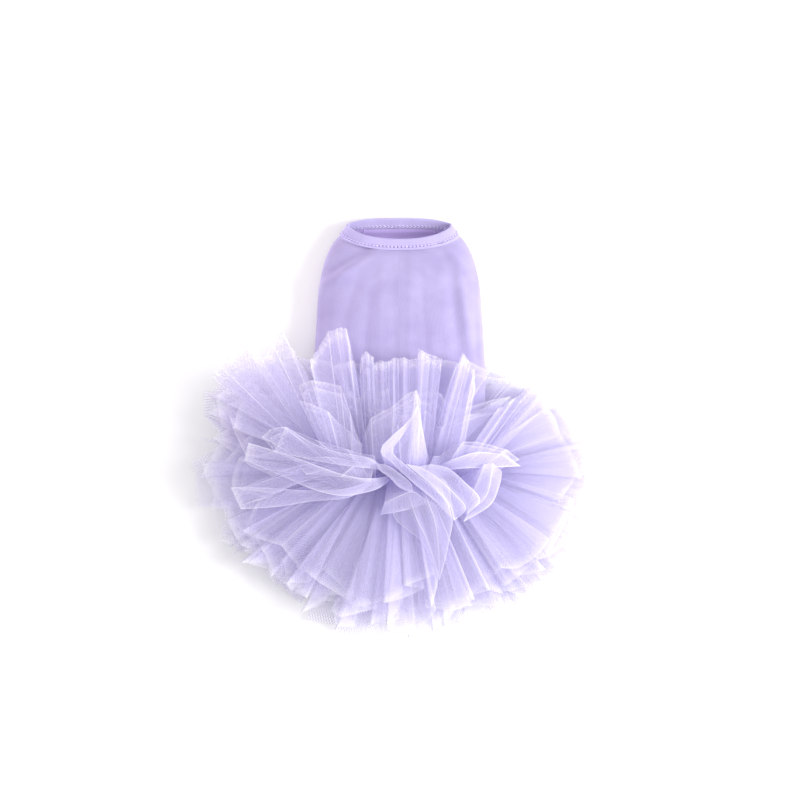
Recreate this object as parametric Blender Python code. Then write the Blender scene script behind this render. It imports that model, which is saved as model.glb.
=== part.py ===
# Tutu dress, laid on a surface and softly puffed.
# Metres, +Z up from the surface, +Y towards the neck, +X to the right of the shown side.
import math

import bpy
import numpy as np

MM = 0.001

# Cloth walls and the gap left at each seam, in millimetres
JERSEY_WALL = 1.4
BAND_WALL = 2.2
TULLE_WALL = 1.3
SEAM_GAP = 0.3
NECK_GAP = 0.8

# Counts
BACK_COLUMNS = 30
BELLY_COLUMNS = 8
NECK_SEGMENTS = 48
LEG_SEGMENTS = 28

# Bodice sections from the mouth of the neck to the waist, in millimetres.
# The under layer of a section lies at y_under, its upper layer at y_over.
BODICE = [
    dict(y_under=211.5, y_over=188.0, half_width=51.5, z_under=0.0, z_over=30.0),
    dict(y_under=200.5, y_over=175.8, half_width=60.0, z_under=0.0, z_over=31.5),
    dict(y_under=192.0, y_over=167.0, half_width=66.5, z_under=0.0, z_over=32.5),
    dict(y_under=180.0, y_over=157.0, half_width=72.5, z_under=0.0, z_over=33.5),
    dict(y_under=163.0, y_over=143.0, half_width=77.5, z_under=0.0, z_over=34.5),
    dict(y_under=143.0, y_over=127.0, half_width=80.8, z_under=0.0, z_over=35.5),
    dict(y_under=120.0, y_over=108.0, half_width=82.3, z_under=0.0, z_over=36.5),
    dict(y_under=97.0, y_over=89.0, half_width=83.6, z_under=2.0, z_over=37.5),
    dict(y_under=72.0, y_over=68.0, half_width=84.8, z_under=8.4, z_over=39.0),
    dict(y_under=45.0, y_over=43.0, half_width=85.5, z_under=14.4, z_over=41.0),
    dict(y_under=15.0, y_over=15.0, half_width=85.0, z_under=18.5, z_over=42.5),
    dict(y_under=-15.0, y_over=-15.0, half_width=83.5, z_under=20.5, z_over=43.0),
    dict(y_under=-45.0, y_over=-45.0, half_width=82.0, z_under=21.5, z_over=42.5),
]
BODICE_X = -1.0
BAND_TOP = 211.5
BAND_LOW = 200.5
UNDER_ROUND = 5.0
OVER_ROUND = 2.3
SIDE_HEIGHT = 0.40

# Soft folds pressed into the shown side of the back, in millimetres and degrees
BACK_FOLDS = [
    dict(x=-66.0, y=160.0, length=26.0, width=8.0, turn=62.0, depth=2.0),
    dict(x=-60.0, y=142.0, length=30.0, width=9.0, turn=40.0, depth=-1.4),
    dict(x=58.0, y=140.0, length=52.0, width=9.0, turn=105.0, depth=-1.5),
    dict(x=66.0, y=96.0, length=55.0, width=7.0, turn=92.0, depth=1.4),
    dict(x=-30.0, y=104.0, length=60.0, width=9.0, turn=84.0, depth=0.8),
]

# Leg holes in the under side, in millimetres from the middle line and along y
LEG = dict(x=42.0, y=150.0, hole_x=17.0, hole_y=27.0, band=8.0, clear=1.05)
SEAM_X_WAIST = 50.0

# Reach of the longest tulle from the middle of the waist, by direction in degrees from +X
CENTRE = (0.5, -53.0)
REACH = [
    dict(turn=0, reach=201), dict(turn=15, reach=193), dict(turn=30, reach=181),
    dict(turn=45, reach=158), dict(turn=60, reach=150), dict(turn=75, reach=132),
    dict(turn=90, reach=122), dict(turn=105, reach=130), dict(turn=120, reach=151),
    dict(turn=135, reach=186), dict(turn=150, reach=208), dict(turn=165, reach=205),
    dict(turn=180, reach=202), dict(turn=195, reach=191), dict(turn=210, reach=175),
    dict(turn=225, reach=168), dict(turn=240, reach=160), dict(turn=255, reach=157),
    dict(turn=270, reach=158), dict(turn=285, reach=159), dict(turn=300, reach=163),
    dict(turn=315, reach=180), dict(turn=330, reach=190), dict(turn=345, reach=192),
]

# Tulle tiers. Heights are of the sheet's upper face, in millimetres, at the waist, half way and hem;
# north heights are over or under the bodice. share is the part of the longest reach that the tier has,
# wave_in and wave_out are the pleat heights at the waist and the hem, and arch is how far the tier
# comes down with the rounded bodice at its sides.
TIERS = [
    dict(name="tulle_under_low", waves=30, slot_x=79.0, slot_y=6.0, share=1.0, share_north=0.93,
         z_in=16.9, z_mid=8.5, z_hem=4.6, z_in_north=16.9, z_mid_north=7.6, z_hem_north=3.4,
         wave_in=1.6, wave_out=3.2, wave_north=0.5, arch=0.0, seed=3.0),
    dict(name="tulle_under_high", waves=30, slot_x=77.0, slot_y=5.0, share=0.965, share_north=0.70,
         z_in=20.4, z_mid=18.5, z_hem=16.0, z_in_north=20.4, z_mid_north=15.2, z_hem_north=11.0,
         wave_in=1.6, wave_out=4.2, wave_north=0.4, arch=0.0, seed=11.0),
    dict(name="tulle_over_low", waves=30, slot_x=77.0, slot_y=3.6, share=0.93, share_north=0.985,
         z_in=46.0, z_mid=39.5, z_hem=30.0, z_in_north=46.0, z_mid_north=47.2, z_hem_north=45.5,
         wave_in=1.5, wave_out=5.0, wave_north=0.6, arch=9.0, seed=23.0),
    dict(name="tulle_over_high", waves=30, slot_x=74.0, slot_y=2.4, share=0.80, share_north=0.90,
         z_in=49.9, z_mid=52.0, z_hem=46.0, z_in_north=49.9, z_mid_north=53.2, z_hem_north=56.0,
         wave_in=1.5, wave_out=5.5, wave_north=0.7, arch=9.0, seed=37.0),
]

# Curled centre ruffle: a row for each ring from its seam to its hem, where out is the share of the way
CENTRE_RUFFLE = [
    dict(out=0.00, z=54.0, wave=1.0, lift=0.0),
    dict(out=0.26, z=69.0, wave=2.6, lift=0.4),
    dict(out=0.62, z=79.5, wave=4.6, lift=0.9),
    dict(out=1.00, z=77.0, wave=5.4, lift=1.0),
]
CENTRE_SLOT = dict(x=66.0, y=1.7)
CENTRE_REACH = [
    dict(turn=0, reach=120, lift=-3), dict(turn=28, reach=96, lift=0), dict(turn=50, reach=70, lift=3),
    dict(turn=70, reach=62, lift=1), dict(turn=84, reach=62, lift=2), dict(turn=96, reach=78, lift=7),
    dict(turn=108, reach=64, lift=3), dict(turn=128, reach=74, lift=0), dict(turn=150, reach=104, lift=2),
    dict(turn=168, reach=120, lift=-2), dict(turn=190, reach=118, lift=-3), dict(turn=212, reach=84, lift=2),
    dict(turn=232, reach=60, lift=4), dict(turn=252, reach=50, lift=2), dict(turn=272, reach=58, lift=0),
    dict(turn=282, reach=98, lift=-4), dict(turn=289, reach=114, lift=-7), dict(turn=297, reach=90, lift=-4),
    dict(turn=308, reach=60, lift=2), dict(turn=326, reach=78, lift=4), dict(turn=344, reach=106, lift=1),
]
CENTRE_WAVES = 24

# Colours as red, green and blue in linear light
LAVENDER_JERSEY = (0.58, 0.49, 0.86)
LAVENDER_BAND = (0.60, 0.51, 0.87)
LAVENDER_TULLE = (0.66, 0.59, 0.90)


def clear_scene():
    for thing in list(bpy.data.objects):
        bpy.data.objects.remove(thing, do_unlink=True)
    for mesh in list(bpy.data.meshes):
        bpy.data.meshes.remove(mesh)


def material(name, colour, roughness):
    mat = bpy.data.materials.new(name)
    mat.use_nodes = True
    shader = mat.node_tree.nodes["Principled BSDF"]
    shader.inputs["Base Color"].default_value = (*colour, 1.0)
    shader.inputs["Roughness"].default_value = roughness
    shader.inputs["Metallic"].default_value = 0.0
    mat.diffuse_color = (*colour, 1.0)
    return mat


def place(name, points, faces, mat, home):
    mesh = bpy.data.meshes.new(name)
    mesh.from_pydata([tuple(float(c) * MM for c in p) for p in points], [], faces)
    mesh.validate()
    mesh.materials.append(mat)
    thing = bpy.data.objects.new(name, mesh)
    home.objects.link(thing)
    return thing


def wall(outer, inner, closed_round):
    # A closed wall between two grids of rows and columns; the outer grid faces outwards.
    rows, columns = outer.shape[0], outer.shape[1]
    points = list(outer.reshape(-1, 3)) + list(inner.reshape(-1, 3))
    shift = rows * columns
    faces = []
    spans = columns if closed_round else columns - 1

    def at(row, column):
        return row * columns + column % columns

    for row in range(rows - 1):
        for column in range(spans):
            a, b = at(row, column), at(row, column + 1)
            c, d = at(row + 1, column + 1), at(row + 1, column)
            faces.append((a, b, c, d))
            faces.append((a + shift, d + shift, c + shift, b + shift))
    for column in range(spans):
        a, b = at(0, column), at(0, column + 1)
        faces.append((b, a, a + shift, b + shift))
        a, b = at(rows - 1, column), at(rows - 1, column + 1)
        faces.append((a, b, b + shift, a + shift))
    if not closed_round:
        for row in range(rows - 1):
            a, b = at(row, 0), at(row + 1, 0)
            faces.append((a, b, b + shift, a + shift))
            a, b = at(row, columns - 1), at(row + 1, columns - 1)
            faces.append((b, a, a + shift, b + shift))
    return points, faces


def facing_out(points, faces):
    # Turns every face round when the solid's signed volume comes out negative.
    pts = np.array(points)
    volume = 0.0
    for face in faces:
        for k in range(1, len(face) - 1):
            a, b, c = pts[face[0]], pts[face[k]], pts[face[k + 1]]
            volume += float(np.dot(a, np.cross(b, c)))
    if volume < 0:
        return [tuple(reversed(face)) for face in faces]
    return faces


def section_at(y_under):
    # Smooth reading of the bodice table at a place along the under layer.
    keys = np.array([row["y_under"] for row in BODICE])[::-1]
    found = {}
    for column in ("y_over", "half_width", "z_under", "z_over"):
        values = np.array([row[column] for row in BODICE])[::-1]
        slopes = np.gradient(values, keys)
        k = int(np.clip(np.searchsorted(keys, y_under) - 1, 0, len(keys) - 2))
        span = keys[k + 1] - keys[k]
        t = (y_under - keys[k]) / span
        h00 = 2 * t ** 3 - 3 * t ** 2 + 1
        h10 = t ** 3 - 2 * t ** 2 + t
        h01 = -2 * t ** 3 + 3 * t ** 2
        h11 = t ** 3 - t ** 2
        found[column] = float(
            h00 * values[k] + h10 * span * slopes[k] + h01 * values[k + 1] + h11 * span * slopes[k + 1]
        )
    found["z_under"] = max(0.0, found["z_under"])
    return found


def half_section(y_under):
    # Points from the middle of the under layer round one side to the middle of the upper layer.
    row = section_at(y_under)
    z_side = row["z_under"] + SIDE_HEIGHT * (row["z_over"] - row["z_under"])
    points = []
    for step in range(161):
        angle = -math.pi / 2 + math.pi * step / 160
        power = UNDER_ROUND if angle < 0 else OVER_ROUND
        depth = z_side - row["z_under"] if angle < 0 else row["z_over"] - z_side
        x = row["half_width"] * abs(math.cos(angle)) ** (2 / power)
        z = z_side + math.copysign(depth * abs(math.sin(angle)) ** (2 / power), angle)
        share = (z - row["z_under"]) / (row["z_over"] - row["z_under"])
        y = y_under + (row["y_over"] - y_under) * share
        points.append((x, y, z))
    points = np.array(points)
    lengths = np.concatenate([[0.0], np.cumsum(np.linalg.norm(np.diff(points, axis=0), axis=1))])
    return points, lengths


def on_bodice(y_under, girth):
    # girth is signed: millimetres round from the middle of the under layer, plus to +X.
    points, lengths = half_section(y_under)
    at = min(abs(girth), lengths[-1])
    spot = np.array([np.interp(at, lengths, points[:, k]) for k in range(3)])
    spot[0] = BODICE_X + math.copysign(spot[0], girth)
    return spot


def girth_half(y_under):
    return half_section(y_under)[1][-1]


def fold_depth(spot):
    # Depth of the soft folds at a place on the shown side.
    total = 0.0
    for fold in BACK_FOLDS:
        turn = math.radians(fold["turn"])
        dx, dy = spot[0] - fold["x"], spot[1] - fold["y"]
        along = dx * math.cos(turn) + dy * math.sin(turn)
        across = -dx * math.sin(turn) + dy * math.cos(turn)
        total += fold["depth"] * math.exp(-(along / fold["length"]) ** 2 - (across / fold["width"]) ** 2)
    return total


def grid_normals(grid, closed_round):
    if closed_round:
        along = np.roll(grid, -1, axis=1) - np.roll(grid, 1, axis=1)
    else:
        along = np.gradient(grid, axis=1)
    down = np.gradient(grid, axis=0)
    normal = np.cross(along, down)
    size = np.linalg.norm(normal, axis=2, keepdims=True)
    return normal / np.maximum(size, 1e-9)


def leg_clear(y_under):
    # Half width of the leg hole with its binding at a place along y.
    reach_y = LEG["hole_y"] + LEG["band"] + LEG["clear"]
    reach_x = LEG["hole_x"] + LEG["band"] + LEG["clear"]
    share = 1.0 - ((y_under - LEG["y"]) / reach_y) ** 2
    return max(SEAM_GAP / 2, reach_x * math.sqrt(max(0.0, share)))


def seam_x(y_under):
    # The seam between back and belly, on the under side.
    return float(np.interp(y_under, [-45.0, 90.0, 185.0, 211.5], [SEAM_X_WAIST, LEG["x"], LEG["x"], 33.0]))


def panel_rows():
    reach_y = LEG["hole_y"] + LEG["band"] + LEG["clear"]
    rows = [BAND_LOW - NECK_GAP, 193.5, LEG["y"] + reach_y]
    for share in (0.965, 0.80, 0.5, 0.18, -0.18, -0.5, -0.80, -0.965):
        rows.append(LEG["y"] + reach_y * share)
    rows += [LEG["y"] - reach_y, 105.0, 92.0, 78.0, 62.0, 42.0, 15.0, -15.0, -44.7]
    return rows


def build_back(home, mat):
    rows = panel_rows()
    outer = np.zeros((len(rows), BACK_COLUMNS + 1, 3))
    for i, y_under in enumerate(rows):
        start = seam_x(y_under) + leg_clear(y_under)
        half = girth_half(y_under)
        for j in range(BACK_COLUMNS + 1):
            share = -1.0 + 2.0 * j / BACK_COLUMNS
            spread = math.copysign(abs(share) ** 1.08, share)
            girth = half - (half - start) * abs(spread)
            outer[i, j] = on_bodice(y_under, math.copysign(girth, share if share else 1.0))
    outward = -grid_normals(outer, False)
    if outward[0, BACK_COLUMNS // 2, 2] < 0:
        outward = -outward
    for i in range(len(rows)):
        for j in range(BACK_COLUMNS + 1):
            if outward[i, j, 2] > 0.2:
                outer[i, j] -= outward[i, j] * fold_depth(outer[i, j])
    inner = outer - outward * JERSEY_WALL
    points, faces = wall(outer, inner, False)
    return place("back_panel", points, facing_out(points, faces), mat, home)


def build_belly(home, mat):
    rows = panel_rows()
    outer = np.zeros((len(rows), BELLY_COLUMNS + 1, 3))
    for i, y_under in enumerate(rows):
        edge = seam_x(y_under) - leg_clear(y_under)
        for j in range(BELLY_COLUMNS + 1):
            outer[i, j] = on_bodice(y_under, edge * (-1.0 + 2.0 * j / BELLY_COLUMNS) + 1e-6)
    outward = grid_normals(outer, False)
    if outward[0, BELLY_COLUMNS // 2, 2] > 0:
        outward = -outward
    inner = outer - outward * JERSEY_WALL
    points, faces = wall(outer, inner, False)
    return place("belly_panel", points, facing_out(points, faces), mat, home)


# Section of a folded binding: share across its width and share of its wall inwards
BAND_SECTION = [
    dict(across=0.00, depth=0.35), dict(across=0.10, depth=0.0), dict(across=0.90, depth=0.0),
    dict(across=1.00, depth=0.35), dict(across=0.94, depth=1.0), dict(across=0.08, depth=1.0),
]


def build_ring(name, edge, far, outward, home, mat):
    # A band between two closed lines of points; outward is each place's outer direction.
    count = len(edge)
    points, faces = [], []
    for j in range(count):
        for row in BAND_SECTION:
            spot = edge[j] * (1 - row["across"]) + far[j] * row["across"]
            points.append(spot - outward[j] * BAND_WALL * row["depth"])
    ring = len(BAND_SECTION)
    for j in range(count):
        for k in range(ring):
            a = j * ring + k
            b = j * ring + (k + 1) % ring
            c = ((j + 1) % count) * ring + (k + 1) % ring
            d = ((j + 1) % count) * ring + k
            faces.append((a, b, c, d))
    return place(name, points, facing_out(points, faces), mat, home)


def build_neck(home, mat):
    edge, far = [], []
    for j in range(NECK_SEGMENTS):
        share = j / NECK_SEGMENTS
        for y_under, line in ((BAND_TOP, edge), (BAND_LOW, far)):
            half = girth_half(y_under)
            girth = 2.0 * half * (share if share <= 0.5 else share - 1.0)
            line.append(on_bodice(y_under, girth))
    edge, far = np.array(edge), np.array(far)
    grid = np.stack([edge, far])
    outward = grid_normals(grid, True).mean(axis=0)
    outward /= np.linalg.norm(outward, axis=1, keepdims=True)
    middle = edge.mean(axis=0)
    if np.dot(outward[0], edge[0] - middle) < 0:
        outward = -outward
    return build_ring("neck_binding", edge, far, outward, home, mat)


def build_leg(name, side, home, mat):
    edge, far = [], []
    for j in range(LEG_SEGMENTS):
        angle = 2 * math.pi * j / LEG_SEGMENTS
        for extra, line in ((0.0, edge), (LEG["band"], far)):
            x = LEG["x"] + (LEG["hole_x"] + extra) * math.cos(angle)
            y = LEG["y"] + (LEG["hole_y"] + extra) * math.sin(angle)
            line.append(on_bodice(y, side * x))
    edge, far = np.array(edge), np.array(far)
    outward = np.tile(np.array([0.0, 0.0, -1.0]), (LEG_SEGMENTS, 1))
    return build_ring(name, edge, far, outward, home, mat)


def reach_at(turn):
    turns = [row["turn"] for row in REACH] + [360]
    reaches = [row["reach"] for row in REACH] + [REACH[0]["reach"]]
    return float(np.interp(turn % 360.0, turns, reaches))


def ripple(k, seed):
    # A steady uneven number between -1 and 1 for pleat k.
    value = math.sin(k * 2.399 + seed) * 0.6 + math.sin(k * 1.117 + seed * 1.7) * 0.4
    return value


def ease(low, high, value):
    t = min(1.0, max(0.0, (value - low) / (high - low)))
    return t * t * (3 - 2 * t)


def bodice_cover(x, y):
    # 1 above or below the bodice, 0 well outside it.
    beside = 1.0 - ease(88.0, 122.0, abs(x - BODICE_X))
    along = ease(-62.0, -44.0, y)
    return beside * along


def arch_drop(arch, x):
    # How far a tier comes down at the rounded sides of the bodice.
    return arch * min(1.0, abs(x - BODICE_X) / 82.0) ** 3


TIER_ROWS = (0.0, 0.22, 0.58, 1.0)


def slot_place(share, slot_x, slot_y):
    # Even steps round a flat oval, from +X by way of +Y.
    turns = [2 * math.pi * k / 720 for k in range(721)]
    xs = [slot_x * math.cos(t) for t in turns]
    ys = [slot_y * math.sin(t) for t in turns]
    steps = np.hypot(np.diff(xs), np.diff(ys))
    lengths = np.concatenate([[0.0], np.cumsum(steps)])
    at = (share % 1.0) * lengths[-1]
    return np.array([np.interp(at, lengths, xs), np.interp(at, lengths, ys)])


def hem_place(share):
    turns = [k * 0.5 for k in range(721)]
    xs = [reach_at(t) * math.cos(math.radians(t)) for t in turns]
    ys = [reach_at(t) * math.sin(math.radians(t)) for t in turns]
    steps = np.hypot(np.diff(xs), np.diff(ys))
    lengths = np.concatenate([[0.0], np.cumsum(steps)])
    at = (share % 1.0) * lengths[-1]
    return np.array([np.interp(at, lengths, xs), np.interp(at, lengths, ys)])


def build_tier(tier, home, mat):
    columns = tier["waves"] * 4
    upper = np.zeros((len(TIER_ROWS), columns, 3))
    for j in range(columns):
        pleat, beat = divmod(j, 4)
        share = (j + 0.30 * ripple(pleat, tier["seed"]) * (beat == 0)) / columns
        inner = slot_place(share, tier["slot_x"], tier["slot_y"])
        hem = hem_place(share)
        turn = math.degrees(math.atan2(hem[1], hem[0]))
        north = ease(20.0, 75.0, 90.0 - abs(abs(turn) - 90.0)) if turn > 0 else 0.0
        long = tier["share"] + (tier["share_north"] - tier["share"]) * north
        tip = 0.022 if beat == 0 else (-0.018 if beat == 2 else 0.0)
        long += tip + 0.02 * ripple(pleat + 5, tier["seed"])
        if tier["share"] == 1.0:
            long = min(long, 1.0)
        swing = (1.0, 0.0, -1.0, 0.0)[beat]
        for i, v in enumerate(TIER_ROWS):
            spot = inner * (1 - v) + hem * long * v
            x, y = CENTRE[0] + spot[0], CENTRE[1] + spot[1]
            cover = bodice_cover(x, y)
            open_z = np.interp(v, [0, 0.5, 1], [tier["z_in"], tier["z_mid"], tier["z_hem"]])
            open_z -= arch_drop(tier["arch"], inner[0]) * max(0.0, 1.0 - v / 0.5)
            north_z = np.interp(
                v, [0, 0.5, 1], [tier["z_in_north"], tier["z_mid_north"], tier["z_hem_north"]]
            )
            north_z -= arch_drop(tier["arch"], x)
            wave = tier["wave_in"] + (tier["wave_out"] - tier["wave_in"]) * v
            wave *= (1 - cover) + cover * tier["wave_north"]
            wave *= 1.0 + 0.25 * ripple(pleat + 9, tier["seed"])
            z = open_z * (1 - cover) + north_z * cover + swing * wave
            upper[i, j] = (x, y, max(z, TULLE_WALL + 0.02 * (j % 2)))
    lower = upper.copy()
    lower[:, :, 2] -= TULLE_WALL
    lower[:, :, 2] = np.maximum(lower[:, :, 2], 0.0)
    points, faces = wall(upper, lower, True)
    return place(tier["name"], points, facing_out(points, faces), mat, home)


def build_centre(home, mat):
    columns = CENTRE_WAVES * 4
    turns = [row["turn"] for row in CENTRE_REACH] + [360]
    reaches = [row["reach"] for row in CENTRE_REACH] + [CENTRE_REACH[0]["reach"]]
    lifts = [row["lift"] for row in CENTRE_REACH] + [CENTRE_REACH[0]["lift"]]
    upper = np.zeros((len(CENTRE_RUFFLE), columns, 3))
    for j in range(columns):
        pleat, beat = divmod(j, 4)
        swing = (1.0, 0.0, -1.0, 0.0)[beat]
        flat = slot_place(j / columns, CENTRE_SLOT["x"], CENTRE_SLOT["y"])
        spread = slot_place(j / columns, 1.0, 0.52)
        turn = math.degrees(math.atan2(spread[1], spread[0])) % 360.0
        reach = float(np.interp(turn, turns, reaches))
        hem = np.array([math.cos(math.radians(turn)), math.sin(math.radians(turn))]) * reach
        for i, row in enumerate(CENTRE_RUFFLE):
            spot = flat * (1 - row["out"]) + hem * row["out"]
            lift = float(np.interp(turn, turns, lifts)) * row["lift"]
            wave = row["wave"] * (1.0 + 0.3 * ripple(pleat, 5.0))
            z = row["z"] + lift + swing * wave - arch_drop(9.0, flat[0]) * (1 - row["out"])
            upper[i, j] = (CENTRE[0] + spot[0], CENTRE[1] + spot[1], z)
    lower = upper.copy()
    lower[:, :, 2] -= TULLE_WALL
    points, faces = wall(upper, lower, True)
    return place("tulle_centre", points, facing_out(points, faces), mat, home)


def main():
    clear_scene()
    home = bpy.data.collections.new("tutu_dress")
    bpy.context.scene.collection.children.link(home)
    jersey = material("lavender jersey", LAVENDER_JERSEY, 0.85)
    belly_jersey = material("lavender jersey belly", LAVENDER_JERSEY, 0.85)
    band = material("lavender binding", LAVENDER_BAND, 0.8)
    leg_left = material("lavender leg binding left", LAVENDER_BAND, 0.8)
    leg_right = material("lavender leg binding right", LAVENDER_BAND, 0.8)
    build_back(home, jersey)
    build_belly(home, belly_jersey)
    build_neck(home, band)
    build_leg("leg_binding_left", -1, home, leg_left)
    build_leg("leg_binding_right", 1, home, leg_right)
    for tier in TIERS:
        build_tier(tier, home, material(tier["name"].replace("_", " "), LAVENDER_TULLE, 0.6))
    build_centre(home, material("tulle centre", LAVENDER_TULLE, 0.6))


main()
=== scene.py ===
# %% [markdown]
# # A small tutu dress, laid out
# A jersey tube with a bound neck and two bound leg holes carries five tiers of gathered tulle. The
# dress lies on its belly side with the neck at the top, so the soft tube is flattened and the skirt
# fans out round the flat waist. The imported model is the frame, and every piece here follows it. The
# sizes of the dress are in millimetres, and MM turns them to Blender's metres. The cut sizes of the
# cloth, the lights, the floor and the camera are in metres.

import math

import bpy
import numpy as np
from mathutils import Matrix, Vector


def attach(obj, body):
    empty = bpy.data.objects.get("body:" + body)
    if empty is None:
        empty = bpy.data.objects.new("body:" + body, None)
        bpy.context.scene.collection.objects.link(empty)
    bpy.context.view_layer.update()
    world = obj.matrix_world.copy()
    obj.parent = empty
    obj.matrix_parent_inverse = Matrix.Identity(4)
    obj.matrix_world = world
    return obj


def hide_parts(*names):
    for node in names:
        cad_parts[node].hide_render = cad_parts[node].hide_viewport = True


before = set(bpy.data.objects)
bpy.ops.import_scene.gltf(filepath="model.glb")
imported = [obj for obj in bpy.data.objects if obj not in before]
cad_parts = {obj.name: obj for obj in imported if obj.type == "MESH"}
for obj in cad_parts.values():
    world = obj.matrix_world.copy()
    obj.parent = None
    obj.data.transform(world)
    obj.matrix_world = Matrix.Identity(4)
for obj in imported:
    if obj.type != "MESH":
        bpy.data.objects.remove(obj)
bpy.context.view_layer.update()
MM = 0.001
print("frame nodes:", sorted(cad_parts))


# %% [markdown]
# ## Helpers for colour, nodes and meshes
# Colours are written as sRGB hex values, as a dyer's chart gives them, and one function turns them to
# the linear values that Blender mixes light with. One more function adds a node with its settings and
# links, and one makes a mesh piece out of rows and columns of points with its own cloth coordinates,
# which is quick and gives each point its exact place.
# A wall modifier gives the jersey its thickness, with a paler finish on its inner face that paints the
# light coming through the cloth.

# %% Colour and node helpers
def linear(code):
    channels = [int(code[k:k + 2], 16) / 255 for k in (1, 3, 5)]
    return tuple(c / 12.92 if c <= 0.04045 else ((c + 0.055) / 1.055) ** 2.4 for c in channels) + (1.0,)


def add(tree, kind, settings=None, links=None):
    made = tree.nodes.new(kind)
    for key, value in (settings or {}).items():
        setattr(made, key, value)
    for key, value in (links or {}).items():
        if isinstance(value, bpy.types.NodeSocket):
            tree.links.new(value, made.inputs[key])
        else:
            made.inputs[key].default_value = value
    return made


def new_finish(name, values):
    # What is the same all over the surface is set on the shader's own sockets
    finish = bpy.data.materials.new(name)
    finish.use_nodes = True
    shader = finish.node_tree.nodes["Principled BSDF"]
    for key, value in values.items():
        shader.inputs[key].default_value = value
    return finish, shader


print("lavender in linear light:", [round(c, 3) for c in linear("#cbbdf0")])


# %% Mesh helpers
def into_scene(name, data):
    made = bpy.data.objects.new(name, data)
    bpy.context.scene.collection.objects.link(made)
    return made


def quads(row, column, right, wide):
    # The corners of each small face, in the order that goes round it
    low, high = row * wide, (row + 1) * wide
    return np.stack([low + column, low + right, high + right, high + column], axis=-1).reshape(-1, 4)


def cloth_grid(name, points, cloth, uv, closed_round=False, marks=None, flip=False):
    # points is rows x columns x 3 in millimetres, uv is rows x columns(+1) x 2 in millimetres
    rows, columns = points.shape[:2]
    spans = columns if closed_round else columns - 1
    row, column = np.meshgrid(np.arange(rows - 1), np.arange(spans), indexing="ij")
    faces = quads(row, column, (column + 1) % columns, columns)
    corners = quads(row, column, column + 1, uv.shape[1])
    if flip:
        faces, corners = faces[:, ::-1], corners[:, ::-1]
    mesh = bpy.data.meshes.new(name)
    mesh.from_pydata((points.reshape(-1, 3) * MM).tolist(), [], faces.tolist())
    places = uv.reshape(-1, 2)[corners.reshape(-1)] * MM
    layer = mesh.uv_layers.new(name="cloth")
    layer.data.foreach_set("uv", places.reshape(-1).astype(np.float32))
    for key, values in (marks or {}).items():
        attribute = mesh.attributes.new(key, "FLOAT", "POINT")
        attribute.data.foreach_set("value", values.reshape(-1).astype(np.float32))
    mesh.materials.append(cloth)
    mesh.polygons.foreach_set("use_smooth", np.ones(len(faces), dtype=bool))
    return into_scene(name, mesh)


def join(name, pieces):
    with bpy.context.temp_override(active_object=pieces[0], selected_editable_objects=pieces):
        bpy.ops.object.join()
    pieces[0].name = name
    pieces[0].data.name = name
    return pieces[0]


def thicken(piece, wall, inner_cloth):
    piece.data.materials.append(inner_cloth)
    shell = piece.modifiers.new("wall", "SOLIDIFY")
    shell.thickness = wall * MM
    shell.offset = -1.0
    shell.use_even_offset = False
    shell.material_offset = 1


def put_on(piece, node=None):
    # A piece moves with the dress, and one that has a solid in the frame stands for it
    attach(piece, "root")
    if node:
        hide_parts(node)


# %% [markdown]
# ## Cotton jersey
# Jersey is a plain weft knit. Its fine wales run along the garment, it is quite matt, and loose fibre ends
# give the edges a soft pale bloom, which is what the sheen is for. The wales are about 0.7 mm apart on the
# real cloth, and are drawn at 1.3 mm because they would be lost in the render. The inner face is given a
# paler, warmer colour: painted light, which stands for the light that comes through the thin cloth into
# the inside of the neck.

# %% Jersey material
# The scales are per millimetre: a wale each 1.3 mm, flecks of 1.6 mm and clouds of 29 mm
WALE_SCALE, FLECK_SCALE, CLOUD_SCALE = 0.24, 0.62, 0.035


def jersey(name, pale, deep, coordinates="UV"):
    cloth, shader = new_finish(name, {
        "Roughness": 0.88, "Specular IOR Level": 0.25, "Sheen Weight": 0.25, "Sheen Roughness": 0.45,
        "Sheen Tint": linear("#efe9ff")})
    tree = cloth.node_tree
    place = add(tree, "ShaderNodeTexCoord")
    in_mm = add(tree, "ShaderNodeVectorMath", {"operation": "SCALE"},
                {0: place.outputs[coordinates], "Scale": 1 / MM})
    wales = add(tree, "ShaderNodeTexWave", {"wave_type": "BANDS", "bands_direction": "X"},
                {"Vector": in_mm.outputs[0], "Scale": WALE_SCALE, "Distortion": 0.7,
                 "Detail": 2.0, "Detail Scale": 1.4})
    flecks = add(tree, "ShaderNodeTexNoise", None,
                 {"Vector": in_mm.outputs[0], "Scale": FLECK_SCALE, "Detail": 5.0, "Roughness": 0.7})
    clouds = add(tree, "ShaderNodeTexNoise", None,
                 {"Vector": in_mm.outputs[0], "Scale": CLOUD_SCALE, "Detail": 2.0})
    tone = add(tree, "ShaderNodeMath", {"operation": "MULTIPLY_ADD"},
               {0: flecks.outputs["Fac"], 1: 0.55, 2: clouds.outputs["Fac"]})
    ramp = add(tree, "ShaderNodeValToRGB", None, {"Fac": tone.outputs[0]})
    ramp.color_ramp.elements[0].position = 0.50
    ramp.color_ramp.elements[0].color = linear(deep)
    ramp.color_ramp.elements[1].position = 1.02
    ramp.color_ramp.elements[1].color = linear(pale)
    knit = add(tree, "ShaderNodeMath", {"operation": "MULTIPLY_ADD"},
               {0: flecks.outputs["Fac"], 1: 1.3, 2: wales.outputs["Fac"]})
    bump = add(tree, "ShaderNodeBump", None,
               {"Height": knit.outputs[0], "Strength": 0.35, "Distance": 0.25 * MM})
    tree.links.new(ramp.outputs["Color"], shader.inputs["Base Color"])
    tree.links.new(bump.outputs["Normal"], shader.inputs["Normal"])
    return cloth


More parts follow.
